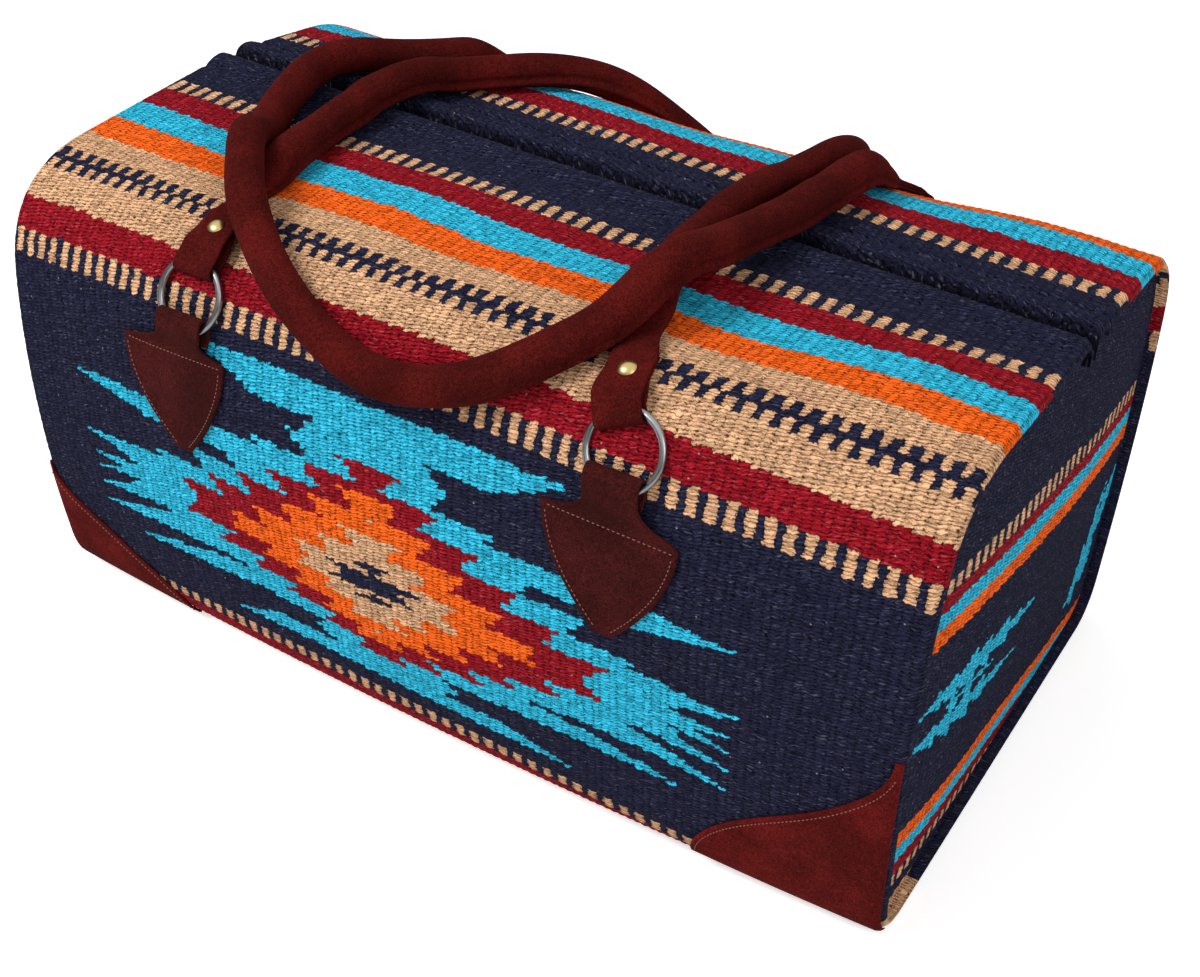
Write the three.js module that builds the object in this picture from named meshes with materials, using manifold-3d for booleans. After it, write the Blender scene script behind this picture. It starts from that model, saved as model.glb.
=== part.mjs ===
// Woven duffel bag: one striped cloth wrapped round the front, base and back and closed by a zip
// along the top, two sewn-in end panels, hide corner patches, and two rolled hide handles that hang
// on steel rings. The back handle lies forward over the front one, which lies back under it.
// Millimetres, +Z up. The bag stands on its base at z = 0 with its front towards -Y.
import * as THREE from "three";
import { mergeVertices } from "three/addons/utils/BufferGeometryUtils.js";
import Module from "manifold-3d";

const wasm = await Module();
wasm.setup();

// Bag body: heights and shifts are those of the unrounded edges, at the ends and the middle
const LENGTH = 610;
const BASE_DEPTH = 339;
const TOP_DEPTH = 332;
const FRONT_EDGE_HEIGHT = 298;
const BACK_EDGE_LEFT = 300;
const BACK_EDGE_MIDDLE = 297;
const BACK_EDGE_RIGHT = 286;
const ZIP_HEIGHT_LEFT = 314;
const ZIP_HEIGHT_RIGHT = 290;
const ZIP_Y = 20;
const TOP_SHIFT_LEFT = -8;
const TOP_SHIFT_MIDDLE = -12;
const TOP_SHIFT_RIGHT = 7;
const LEFT_END_LEAN = 10;
const FACE_BULGE = 9.5;
const TOP_ROUNDING = 60;
const BASE_ROUNDING = 30;

// Cloth
const CLOTH = 5;
const HEM_CLOTH = 9;
const HEM_WIDTH = 20;
const HEM_STITCH = 1.5;
const HEM_PUFF = 1.5;
const HEM_EDGE = 4;
const LIP_WIDTH = 10;
const LIP_DROP = 3.2;
const PANEL_CLOTH = 4;
const PANEL_INSET = 13;
const PANEL_BULGE = 7;

// Clearances
const SEAT_GAP = 0.4;
const PLAY = 0.35;
const LAY_GAP = 0.8;
const SLIDER_CLEARANCE = 1.2;

// Zip
const ZIP_SLOT = 8;
const ROW_GAP = 1.8;
const ROW_WIDTH = 2.2;
const ROW_HEIGHT = 3;
const TOOTH_PITCH = 12;
const TOOTH_LENGTH = 8;
const TOOTH_RELIEF = 0.8;
const TAPE_THICKNESS = 1.2;
const TAPE_WIDTH = 15;
const TAPE_FLAT = 4.5;
const SLIDER_LENGTH = 16;
const SLIDER_WIDTH = 11;
const SLIDER_PLATE = 1.6;
const SLIDER_END_GAP = 8;
const SLIDER_WEB = 1;
const EAR_THICKNESS = 0.8;
const EAR_RADIUS = 2.2;
const PIN_RADIUS = 0.8;
const PULL_LENGTH = 26;
const PULL_WIDTH = 4.4;
const PULL_THICKNESS = 1.6;
const PULL_EYE_RADIUS = 2;

// Rings and the tabs that hold them
const RING_LEFT_X = -147;
const RING_RIGHT_X = 139;
const RING_INNER = 38;
const RING_WIRE = 4;
const FRONT_RING_TILT = 28;
const BACK_RING_TILT = 8;
const FRONT_RING_DROP = 48;
const BACK_RING_DROP = 84;
const HIDE = 2;
const TAB_WIDTH = 79;
const TAB_HEIGHT = 70;
const TAB_TIP_WIDTH = 7;
const TAB_SHOULDER_DROP = 24;
const FRONT_TAB_SHIFT_LEFT = -10;
const FRONT_TAB_SHIFT_RIGHT = -3;
const TAB_SIDE_POWER = 1.9;
const NECK_WIDTH = 26;
const NECK_POWER = 3;

// Corner patches
const PATCH_HIDE = 1.6;
const PATCH_RUN = 111;
const PATCH_RISE_FRONT_LEFT = 92;
const PATCH_RISE_FRONT_RIGHT = 142;
const PATCH_RISE_BACK = 115;
const PATCH_TOP_WIDTH = 4;
const PATCH_SEAM_GAP = 5;
const PATCH_FOOT = 6;

// Handles
const TUBE_DIAMETER = 24;
const STRAP_WIDTH = 24;
const STRAP_THICKNESS = 5;
const STRAP_LENGTH = 40;
const STRAP_TAPER = 50;
const STRAP_SQUARENESS = 0.4;
const EYE_OVERLAP = 9;
const DRAPE_SPREAD = 1.3;
const DRAPE_LIFT = 1.15;
const RIVET_REACH = 14;
const RIVET_CAP_RADIUS = 5;
const RIVET_CAP_HEIGHT = 2;
const RIVET_POST_RADIUS = 1.8;

// Handle routes on the cloth: x along the bag, then girth from the zip, forward positive
const BACK_RISE_X = -148;
const BACK_RISE_GIRTH = -105;
const BACK_CREST_LEFT_X = -215;
const BACK_CREST_LEFT_GIRTH = 5;
const BACK_SHOULDER_LEFT_X = -152;
const BACK_SHOULDER_LEFT_GIRTH = 143;
const BACK_BIGHT_X = -8;
const BACK_BIGHT_GIRTH = 220;
const BACK_SHOULDER_RIGHT_X = 100;
const BACK_SHOULDER_RIGHT_GIRTH = 170;
const BACK_CREST_RIGHT_X = 123;
const BACK_CREST_RIGHT_GIRTH = 30;
const FRONT_CREST_LEFT_X = -161;
const FRONT_CREST_LEFT_GIRTH = 20;
const FRONT_SHOULDER_LEFT_X = -118;
const FRONT_SHOULDER_LEFT_GIRTH = -72;
const FRONT_BIGHT_X = 40;
const FRONT_BIGHT_GIRTH = -190;
const FRONT_SHOULDER_RIGHT_X = 104;
const FRONT_SHOULDER_RIGHT_GIRTH = -125;
const FRONT_CREST_RIGHT_X = 93;
const FRONT_CREST_RIGHT_GIRTH = 15;

// Facets
const STATIONS = 12;
const LINE_STEPS = 2;
const ROUND_STEPS = 5;
const PANEL_RINGS = 3;
const WIRE_SIDES = 8;
const RING_STEPS = 24;
const TUBE_SIDES = 10;
const TUBE_STEPS = 54;
const SHEET_STEPS = 6;
const PATCH_ROW = 8;
const NECK_STEPS = 3;
const BISECTIONS = 40;

const ENDS = { left: -1, right: 1 };
const SIDES = { front: 1, back: -1 };
const ALONG = new THREE.Vector3(1, 0, 0);
const UP = new THREE.Vector3(0, 0, 1);
const { lerp, smoothstep, degToRad } = THREE.MathUtils;

const woven = { color: 0x1f2144, roughness: 0.95, metalness: 0 };
const hide = { color: 0x501c17, roughness: 0.9, metalness: 0 };
const steel = { color: 0xb9bcc0, roughness: 0.3, metalness: 1 };
const brass = { color: 0xb59a52, roughness: 0.35, metalness: 1 };
const tape = { color: 0x17182e, roughness: 0.9, metalness: 0 };

const bag = new THREE.Group();

function place(name, geometry, finish) {
  const mesh = new THREE.Mesh(geometry, new THREE.MeshStandardMaterial(finish));
  mesh.name = name;
  bag.add(mesh);
}

// Closed meshes and their joins

function closedGeometry(points, triangles) {
  const volume = triangles.reduce((sum, [a, b, c]) => {
    return sum + points[a].dot(new THREE.Vector3().crossVectors(points[b], points[c]));
  }, 0);
  const outward = volume > 0 ? triangles : triangles.map(([a, b, c]) => [a, c, b]);
  const geometry = new THREE.BufferGeometry().setFromPoints(points);
  return geometry.setIndex(outward.flat());
}

function solidOf(geometry) {
  const bare = new THREE.BufferGeometry();
  bare.setAttribute("position", geometry.getAttribute("position"));
  bare.setIndex(geometry.getIndex());
  const merged = mergeVertices(bare);
  const mesh = new wasm.Mesh({
    numProp: 3,
    vertProperties: merged.getAttribute("position").array,
    triVerts: new Uint32Array(merged.getIndex().array),
  });
  return new wasm.Manifold(mesh);
}

function geometryOf(solid) {
  const mesh = solid.getMesh();
  const geometry = new THREE.BufferGeometry();
  geometry.setAttribute("position", new THREE.BufferAttribute(mesh.vertProperties, 3));
  return geometry.setIndex(new THREE.BufferAttribute(mesh.triVerts, 1));
}

function join(...geometries) {
  return geometryOf(geometries.map(solidOf).reduce((a, b) => a.add(b)));
}

function cut(geometry, ...tools) {
  return geometryOf(tools.map(solidOf).reduce((a, b) => a.subtract(b), solidOf(geometry)));
}

// A slab between two matching grids of points, closed round its four edges
function slab(outer, inner) {
  const rows = outer.length;
  const columns = outer[0].length;
  const points = [...outer.flat(), ...inner.flat()];
  const out = (row, column) => row * columns + column;
  const under = (row, column) => (rows + row) * columns + column;
  const triangles = [];
  const quad = (a, b, c, d) => triangles.push([a, b, c], [a, c, d]);
  const last = columns - 1;
  const end = rows - 1;
  for (let r = 0; r < end; r++) {
    for (let c = 0; c < last; c++) {
      quad(out(r, c), out(r, c + 1), out(r + 1, c + 1), out(r + 1, c));
      quad(under(r, c), under(r + 1, c), under(r + 1, c + 1), under(r, c + 1));
    }
    quad(out(r, 0), out(r + 1, 0), under(r + 1, 0), under(r, 0));
    quad(out(r + 1, last), out(r, last), under(r, last), under(r + 1, last));
  }
  for (let c = 0; c < last; c++) {
    quad(out(0, c + 1), out(0, c), under(0, c), under(0, c + 1));
    quad(out(end, c), out(end, c + 1), under(end, c + 1), under(end, c));
  }
  return closedGeometry(points, triangles);
}

// A body through matching closed loops of points, with a cap at each end
function lofted(loops, firstCap, lastCap) {
  const sides = loops[0].length;
  const points = [...loops.flat(), firstCap, lastCap];
  const caps = loops.length * sides;
  const triangles = [];
  for (let k = 0; k < sides; k++) {
    const next = (k + 1) % sides;
    for (let i = 0; i + 1 < loops.length; i++) {
      const a = i * sides;
      const b = a + sides;
      triangles.push([a + k, a + next, b + next], [a + k, b + next, b + k]);
    }
    triangles.push([caps, next, k], [caps + 1, caps - sides + k, caps - sides + next]);
  }
  return closedGeometry(points, triangles);
}

// The bag's outer surface

// A value that runs smoothly through its left, middle and right amounts as t goes from -1 to 1
function through(left, middle, right, t) {
  return middle + ((right - left) / 2) * t + ((right + left) / 2 - middle) * t * t;
}

function towards(from, to, distance) {
  return to.clone().sub(from).setLength(distance).add(from);
}

function zipHeight(x) {
  return lerp(ZIP_HEIGHT_LEFT, ZIP_HEIGHT_RIGHT, x / LENGTH + 1 / 2);
}

const sections = new Map();

// The girth at x as a path in (y, z): from the zip over the front, under the base and up the back
function section(x) {
  if (sections.has(x)) return sections.get(x);
  const t = x / (LENGTH / 2);
  const shift = through(TOP_SHIFT_LEFT, TOP_SHIFT_MIDDLE, TOP_SHIFT_RIGHT, t);
  const backHeight = through(BACK_EDGE_LEFT, BACK_EDGE_MIDDLE, BACK_EDGE_RIGHT, t);
  const zip = new THREE.Vector2(ZIP_Y, zipHeight(x + leanAt(x, ZIP_HEIGHT_LEFT)));
  const frontTop = new THREE.Vector2(shift - TOP_DEPTH / 2, FRONT_EDGE_HEIGHT);
  const frontBase = new THREE.Vector2(-BASE_DEPTH / 2, 0);
  const backBase = new THREE.Vector2(BASE_DEPTH / 2, 0);
  const backTop = new THREE.Vector2(shift + TOP_DEPTH / 2, backHeight);
  const frontFace = frontTop.clone().add(frontBase).divideScalar(2);
  frontFace.x -= 2 * FACE_BULGE;
  const backFace = backTop.clone().add(backBase).divideScalar(2);
  backFace.x += 2 * FACE_BULGE;
  const path = new THREE.Path();
  const straight = (p) => path.lineTo(p.x, p.y);
  const round = (corner, p) => path.quadraticCurveTo(corner.x, corner.y, p.x, p.y);
  path.moveTo(zip.x, zip.y);
  straight(towards(frontTop, zip, TOP_ROUNDING));
  round(frontTop, towards(frontTop, frontFace, TOP_ROUNDING));
  round(frontFace, towards(frontBase, frontFace, BASE_ROUNDING));
  round(frontBase, towards(frontBase, backBase, BASE_ROUNDING));
  straight(towards(backBase, frontBase, BASE_ROUNDING));
  round(backBase, towards(backBase, backFace, BASE_ROUNDING));
  round(backFace, towards(backTop, backFace, TOP_ROUNDING));
  round(backTop, towards(backTop, zip, TOP_ROUNDING));
  straight(zip);
  sections.set(x, path);
  return path;
}

// The left end leans in towards its top
function leanAt(x, z) {
  return ((Math.max(0, -x) * LEFT_END_LEAN) / (LENGTH / 2)) * (z / ZIP_HEIGHT_LEFT);
}

// The surface at x and a girth from the zip, which is negative on the back
function bagPoint(x, girth) {
  const total = section(x).getLength();
  const p = section(x).getPoint((girth < 0 ? total + girth : girth) / total);
  return new THREE.Vector3(x + leanAt(x, p.y), p.x, p.y);
}

function bagNormal(x, girth) {
  const step = Math.sign(girth) || 1;
  const along = bagPoint(x + 1, girth).sub(bagPoint(x - 1, girth));
  const around = bagPoint(x, girth + step).sub(bagPoint(x, girth)).multiplyScalar(step);
  return around.cross(along).normalize();
}

function offBag(x, girth, distance) {
  return bagPoint(x, girth).addScaledVector(bagNormal(x, girth), distance);
}

// The girth on one side at which a test of the surface point turns from true to false
function girthWhere(x, side, test) {
  let near = side;
  let far = (side * section(x).getLength()) / 2;
  for (let i = 0; i < BISECTIONS; i++) {
    const middle = (near + far) / 2;
    if (test(middle)) near = middle;
    else far = middle;
  }
  return near;
}

function girthAtHeight(x, height, side) {
  return girthWhere(x, side, (girth) => bagPoint(x, girth).z > height);
}

function girthNearest(x, point, side) {
  return girthWhere(x, side, (girth) => {
    const onward = bagPoint(x, girth + side).sub(bagPoint(x, girth));
    return point.clone().sub(bagPoint(x, girth)).dot(onward) > 0;
  });
}

// Woven wrap

// Offsets of the cloth's two faces from the bag's surface, with a rolled hem beside the zip
function clothOuter(girth, fromEnd) {
  const fromEdge = Math.abs(girth) - ZIP_SLOT / 2;
  const edge = Math.max(0, 1 - fromEdge / HEM_EDGE);
  const puff = HEM_PUFF * Math.sin(Math.PI * Math.min(1, fromEdge / HEM_WIDTH));
  const stitch = Math.max(0, HEM_STITCH - Math.abs(fromEdge - HEM_WIDTH));
  const lip = Math.max(0, 1 - fromEnd / LIP_WIDTH);
  return puff - stitch - HEM_EDGE * edge * edge - LIP_DROP * (1 - Math.sqrt(1 - lip * lip));
}

function clothInner(girth) {
  const fromEdge = Math.abs(girth) - ZIP_SLOT / 2;
  return lerp(-HEM_CLOTH, -CLOTH, smoothstep(fromEdge, HEM_WIDTH, HEM_WIDTH + CLOTH));
}

// A point of the cloth, whose hems stand upright where they face each other
function clothPoint(x, girth, offset) {
  const fromEdge = Math.abs(girth) - ZIP_SLOT / 2;
  const outward = UP.clone().lerp(bagNormal(x, girth), smoothstep(fromEdge, 0, HEM_WIDTH)).normalize();
  return bagPoint(x, girth).addScaledVector(outward, offset);
}

// Where the columns of the cloth's grid lie, from the front hem round to the back hem
function girthColumns(x) {
  const path = section(x);
  const total = path.getLength();
  const across = [0, HEM_EDGE / 2, HEM_EDGE, HEM_WIDTH / 2, HEM_WIDTH - HEM_STITCH, HEM_WIDTH];
  const hem = [...across, HEM_WIDTH + HEM_STITCH, HEM_WIDTH + CLOTH].map((d) => d + ZIP_SLOT / 2);
  const hemEnd = hem.at(-1);
  const marks = [hemEnd, ...path.getCurveLengths().slice(0, -1), total - hemEnd];
  const between = path.curves.flatMap((curve, k) => {
    const steps = curve.isLineCurve ? LINE_STEPS : ROUND_STEPS;
    return Array.from({ length: steps }, (_, i) => lerp(marks[k], marks[k + 1], i / steps));
  });
  const signed = between.map((girth) => (girth > total / 2 ? girth - total : girth));
  return [...hem.slice(0, -1), ...signed, ...hem.map((girth) => -girth).reverse()];
}

function makeWrap() {
  const straight = LENGTH / 2 - LIP_WIDTH;
  const lip = [LENGTH / 2 - LIP_WIDTH / 2, LENGTH / 2 - LIP_WIDTH / 8, LENGTH / 2];
  const even = Array.from({ length: STATIONS + 1 }, (_, i) => lerp(-straight, straight, i / STATIONS));
  const stations = [...lip.map((x) => -x).reverse(), ...even, ...lip];
  const row = (x, offset) => girthColumns(x).map((girth) => clothPoint(x, girth, offset(girth, x)));
  const layer = (offset) => stations.map((x) => row(x, offset));
  const outer = layer((girth, x) => clothOuter(girth, LENGTH / 2 - Math.abs(x)));
  place("woven_wrap", slab(outer, layer(clothInner)), woven);
}

// End panels, let in behind the wrap's rolled lips
function makeEndPanel(name, end) {
  const x = end * (LENGTH / 2 - PANEL_INSET);
  const rim = girthColumns(x).map((girth) => clothPoint(x, girth, clothInner(girth) - SEAT_GAP));
  const middle = new THREE.Box3().setFromPoints(rim).getCenter(new THREE.Vector3());
  const pushed = (p, distance) => p.clone().addScaledVector(ALONG, end * distance);
  const shares = Array.from({ length: PANEL_RINGS }, (_, k) => k / PANEL_RINGS);
  const bulge = (share) => PANEL_BULGE * share * (2 - share);
  const ring = (share, depth) => rim.map((p) => pushed(p.clone().lerp(middle, share), bulge(share) - depth));
  const outside = shares.map((share) => ring(share, 0)).reverse();
  const inside = shares.map((share) => ring(share, PANEL_CLOTH));
  const crown = pushed(middle, PANEL_BULGE);
  place(name, lofted([...outside, ...inside], crown, pushed(crown, -PANEL_CLOTH)), woven);
}

// Hide sheets that lie on the cloth: rows of girth, each from one x to another
function layOnBag(rows, thickness) {
  const steps = Array.from({ length: SHEET_STEPS + 1 }, (_, i) => i / SHEET_STEPS);
  const grid = (distance) =>
    rows.map(({ girth, from, to }) => steps.map((share) => offBag(lerp(from, to, share), girth, distance)));
  return slab(grid(SEAT_GAP + thickness), grid(SEAT_GAP));
}

// Corner patches: they rise along the end seams and run along the base edges, cut in an S-shaped curve
function makeCornerPatch(name, end, side, rise) {
  const seam = end * (LENGTH / 2 - PATCH_SEAM_GAP);
  const foot = girthAtHeight(seam, PATCH_FOOT, side);
  const steps = Math.ceil(rise / PATCH_ROW);
  const rows = Array.from({ length: steps + 1 }, (_, i) => {
    const up = i / steps;
    const run = lerp(PATCH_TOP_WIDTH, PATCH_RUN, (1 + Math.cos(Math.PI * up)) / 2);
    return { girth: foot - side * rise * up, from: seam, to: seam - end * run };
  });
  place(name, layOnBag(rows, PATCH_HIDE), hide);
}

// Rings: each turns in its tab about one line, the line through both tabs of its handle

const ringMean = (RING_INNER + RING_WIRE) / 2;

// How far the ring's curve departs from a straight line over a width
function bowOver(width) {
  return ringMean - Math.sqrt(ringMean ** 2 - (width / 2) ** 2);
}

// Half the room that the slanting wire needs at the edges of a width
function wireOver(width) {
  return ((RING_WIRE / 2) * ringMean) / (ringMean - bowOver(width));
}

const boreRadius = bowOver(NECK_WIDTH) / 2 + wireOver(NECK_WIDTH) + PLAY;
const tabEyeRadius = boreRadius + HIDE;

function ringX(end) {
  return end === ENDS.left ? RING_LEFT_X : RING_RIGHT_X;
}

// Height of the eyes, from the top edge down. The zip lies behind the middle, so tabs at one girth
// from it hang lower on the back.
function axisHeight(side) {
  return side === SIDES.front ? FRONT_EDGE_HEIGHT - FRONT_RING_DROP : BACK_EDGE_MIDDLE - BACK_RING_DROP;
}

// How far out the cloth stands at a height, from the bag's middle plane
function faceOut(x, height, side) {
  return -side * bagPoint(x, girthAtHeight(x, height, side)).y;
}

function axisOut(end, side) {
  return faceOut(ringX(end), axisHeight(side), side) + SEAT_GAP + tabEyeRadius;
}

function axisPoint(end, side) {
  const x = ringX(end);
  const height = axisHeight(side);
  return new THREE.Vector3(x + leanAt(x, height), -side * axisOut(end, side), height);
}

// The level line through both eyes of a handle, which its rings turn about
function hingeLine(side) {
  return axisPoint(ENDS.right, side).sub(axisPoint(ENDS.left, side)).normalize();
}

function hingeOut(side) {
  return hingeLine(side).cross(UP).multiplyScalar(side);
}

// The way a ring lies at rest: up, leaning in towards the bag
function ringUp(side) {
  const tilt = degToRad(side === SIDES.front ? FRONT_RING_TILT : BACK_RING_TILT);
  return UP.clone().multiplyScalar(Math.cos(tilt)).addScaledVector(hingeOut(side), -Math.sin(tilt));
}

function ringPoint(end, side, up) {
  return axisPoint(end, side).addScaledVector(ringUp(side), up - bowOver(NECK_WIDTH) / 2);
}

function makeRing(name, end, side) {
  const up = ringUp(side);
  const ring = new THREE.TorusGeometry(ringMean, RING_WIRE / 2, WIRE_SIDES, RING_STEPS);
  const along = hingeLine(side);
  ring.applyMatrix4(new THREE.Matrix4().makeBasis(along, up, along.clone().cross(up)));
  const centre = ringPoint(end, side, ringMean);
  place(name, ring.translate(centre.x, centre.y, centre.z), steel);
}

// A profile in (out from the bag, up), drawn along X
function acrossBag(profile, width, origin, out, up) {
  const options = { depth: width, bevelEnabled: false, curveSegments: WIRE_SIDES };
  const geometry = new THREE.ExtrudeGeometry(profile, options).translate(0, 0, -width / 2);
  geometry.applyMatrix4(new THREE.Matrix4().makeBasis(out, up, out.clone().cross(up)));
  return geometry.translate(origin.x, origin.y, origin.z);
}

// Ring tabs: a horned shield sewn to the face, its neck folded into an eye round the ring
function makeRingTab(name, end, side) {
  const x = ringX(end);
  const height = axisHeight(side);
  const shift = end === ENDS.left ? FRONT_TAB_SHIFT_LEFT : FRONT_TAB_SHIFT_RIGHT;
  const middle = side === SIDES.front ? x + shift : x;
  const horns = girthAtHeight(x, height - TAB_SHOULDER_DROP, side);
  const row = (girth, centre, half) => ({ girth, from: centre - half, to: centre + half });
  const neck = Array.from({ length: NECK_STEPS }, (_, i) => {
    const down = i / NECK_STEPS;
    const half = lerp(NECK_WIDTH, TAB_WIDTH, Math.pow(down, NECK_POWER)) / 2;
    return row(horns - side * TAB_SHOULDER_DROP * (1 - down), lerp(x, middle, down), half);
  });
  const shield = Array.from({ length: SHEET_STEPS + 1 }, (_, i) => {
    const down = i / SHEET_STEPS;
    const half = lerp(TAB_WIDTH, TAB_TIP_WIDTH, Math.pow(down, TAB_SIDE_POWER)) / 2;
    return row(horns + side * TAB_HEIGHT * down, middle, half);
  });
  const reach = axisOut(end, side);
  const seat = (below) => faceOut(x, height - below, side) + SEAT_GAP + PLAY - reach;
  const profile = new THREE.Shape();
  profile.moveTo(seat(TAB_SHOULDER_DROP) + HIDE, -TAB_SHOULDER_DROP);
  profile.lineTo(tabEyeRadius, -boreRadius / 2);
  profile.absarc(0, 0, tabEyeRadius, 0, Math.PI, false);
  for (let i = 0; i <= NECK_STEPS; i++) {
    const below = lerp(tabEyeRadius, TAB_SHOULDER_DROP, i / NECK_STEPS);
    profile.lineTo(seat(below), -below);
  }
  profile.closePath();
  const bore = new THREE.Path();
  bore.absarc(0, 0, boreRadius, 0, 2 * Math.PI, true);
  profile.holes.push(bore);
  const eye = acrossBag(profile, NECK_WIDTH, axisPoint(end, side), hingeOut(side), UP);
  place(name, join(layOnBag([...neck, ...shield], HIDE), eye), hide);
}

// Handles

const strapWall = wireOver(STRAP_WIDTH) + PLAY;

// Where a strap leaves the eye round its ring
function strapStart(end, side) {
  return ringPoint(end, side, 2 * ringMean + strapWall + HIDE);
}

// A route from ring to ring through waypoints on the cloth, with the height of each sample over it
function handleRoute(side, waypoints) {
  const anchor = (end) => {
    const x = ringX(end);
    return new THREE.Vector2(x, girthNearest(x, strapStart(end, side), side));
  };
  const curve = new THREE.SplineCurve([anchor(ENDS.left), ...waypoints, anchor(ENDS.right)]);
  const total = curve.getLength();
  const even = Array.from({ length: TUBE_STEPS + 1 }, (_, i) => i / TUBE_STEPS);
  const rivets = [RIVET_REACH / total, 1 - RIVET_REACH / total];
  const shares = [...even, ...rivets].sort((a, b) => a - b);
  return shares.map((share) => {
    const { x, y: girth } = curve.getPointAt(share);
    const end = share < 1 / 2 ? ENDS.left : ENDS.right;
    const fromRing = total * Math.min(share, 1 - share);
    const stand = strapStart(end, side).distanceTo(bagPoint(ringX(end), anchor(end).y));
    const hemRise = HEM_PUFF * (1 - smoothstep(Math.abs(girth), HEM_WIDTH, HEM_WIDTH + TUBE_DIAMETER));
    const rest = handleSection(fromRing).thick + LAY_GAP + hemRise;
    const height = Math.max(rest, lerp(stand, rest, smoothstep(fromRing, 0, STRAP_LENGTH)));
    return { x, girth, end, fromRing, height };
  });
}

// Half the width and thickness of a handle: a flat strap at the ring that rolls up into a tube
function handleSection(fromRing) {
  const roll = smoothstep(fromRing, STRAP_LENGTH, STRAP_LENGTH + STRAP_TAPER);
  const half = lerp(STRAP_WIDTH, TUBE_DIAMETER, roll) / 2;
  return { roll, half, thick: lerp(STRAP_THICKNESS, TUBE_DIAMETER, roll) / 2 };
}

// The height at which one handle climbs over another that it crosses
function drapedOver(route, under) {
  return route.map((sample) => {
    const climbs = under.map((other) => {
      const apart = Math.hypot(sample.x - other.x, sample.girth - other.girth);
      const below = handleSection(other.fromRing);
      const above = handleSection(sample.fromRing).thick + LAY_GAP;
      const clear = above + below.thick;
      const share = apart / ((above + below.half) * DRAPE_SPREAD);
      return share < 1 ? other.height + clear * DRAPE_LIFT * (1 - share * share) : 0;
    });
    return { ...sample, height: Math.max(sample.height, ...climbs) };
  });
}

// The frames of a handle's middle line: across it, and away from the cloth
function handleFrames(route) {
  const line = route.map(({ x, girth, height }) => offBag(x, girth, height));
  return route.map((sample, i) => {
    const ahead = line[Math.min(i + 1, line.length - 1)];
    const behind = line[Math.max(i - 1, 0)];
    const tangent = ahead.clone().sub(behind).normalize();
    const across = tangent.clone().cross(bagNormal(sample.x, sample.girth)).normalize();
    const lift = across.clone().cross(tangent);
    return { ...sample, ...handleSection(sample.fromRing), point: line[i], tangent, across, lift };
  });
}

function rounded(cosine, power) {
  return Math.sign(cosine) * Math.pow(Math.abs(cosine), power);
}

function sectionLoop({ point, across, lift, half, thick, roll }) {
  const power = lerp(STRAP_SQUARENESS, 1, roll);
  return Array.from({ length: TUBE_SIDES }, (_, k) => {
    const turn = ((2 * k + 1) * Math.PI) / TUBE_SIDES;
    const aside = point.clone().addScaledVector(across, half * rounded(Math.cos(turn), power));
    return aside.addScaledVector(lift, thick * rounded(Math.sin(turn), power));
  });
}

// The strap's end folded round the ring, with a slot for the ring's curve
function strapEye(end, side) {
  const bow = bowOver(STRAP_WIDTH);
  const outer = strapWall + HIDE;
  const profile = new THREE.Shape();
  profile.moveTo(outer, EYE_OVERLAP);
  profile.lineTo(-outer, EYE_OVERLAP);
  profile.lineTo(-outer, -bow);
  profile.absarc(0, -bow, outer, Math.PI, 2 * Math.PI, false);
  profile.closePath();
  const slot = new THREE.Path();
  slot.absarc(0, 0, strapWall, 0, Math.PI, false);
  slot.absarc(0, -bow, strapWall, Math.PI, 2 * Math.PI, false);
  profile.holes.push(slot);
  const up = ringUp(side);
  const out = hingeOut(side).projectOnPlane(up).normalize();
  return acrossBag(profile, STRAP_WIDTH, ringPoint(end, side, 2 * ringMean), out, up);
}

// A turned piece stood on a handle, its axis pointing away from the cloth
function onHandle(geometry, { point, across, lift }) {
  geometry.applyMatrix4(new THREE.Matrix4().makeBasis(across, lift, across.clone().cross(lift)));
  return geometry.translate(point.x, point.y, point.z);
}

function makeHandle(name, side, route) {
  const frames = handleFrames(route);
  const seats = frames.filter(({ fromRing }) => Math.abs(fromRing - RIVET_REACH) < PLAY);
  const holeRadius = RIVET_POST_RADIUS + PLAY;
  const hole = () => new THREE.CylinderGeometry(holeRadius, holeRadius, TUBE_DIAMETER, TUBE_SIDES);
  const loft = lofted(frames.map(sectionLoop), frames[0].point, frames.at(-1).point);
  const eyes = Object.values(ENDS).map((end) => strapEye(end, side));
  place(name, cut(join(loft, ...eyes), ...seats.map((seat) => onHandle(hole(), seat))), hide);
  for (const seat of seats) {
    const end = seat.end === ENDS.left ? "left" : "right";
    place(`${name}_rivet_${end}`, onHandle(rivet(seat.thick), seat), brass);
  }
}

// A domed rivet through both layers of a strap
function rivet(thick) {
  const face = thick + PLAY;
  const dome = face + RIVET_CAP_HEIGHT;
  const profile = new THREE.Path();
  profile.moveTo(0, -thick);
  profile.lineTo(RIVET_POST_RADIUS, -thick);
  profile.lineTo(RIVET_POST_RADIUS, face);
  profile.lineTo(RIVET_CAP_RADIUS, face);
  profile.quadraticCurveTo(RIVET_CAP_RADIUS, dome, 0, dome);
  return new THREE.LatheGeometry(profile.getPoints(NECK_STEPS), TUBE_SIDES);
}

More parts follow.
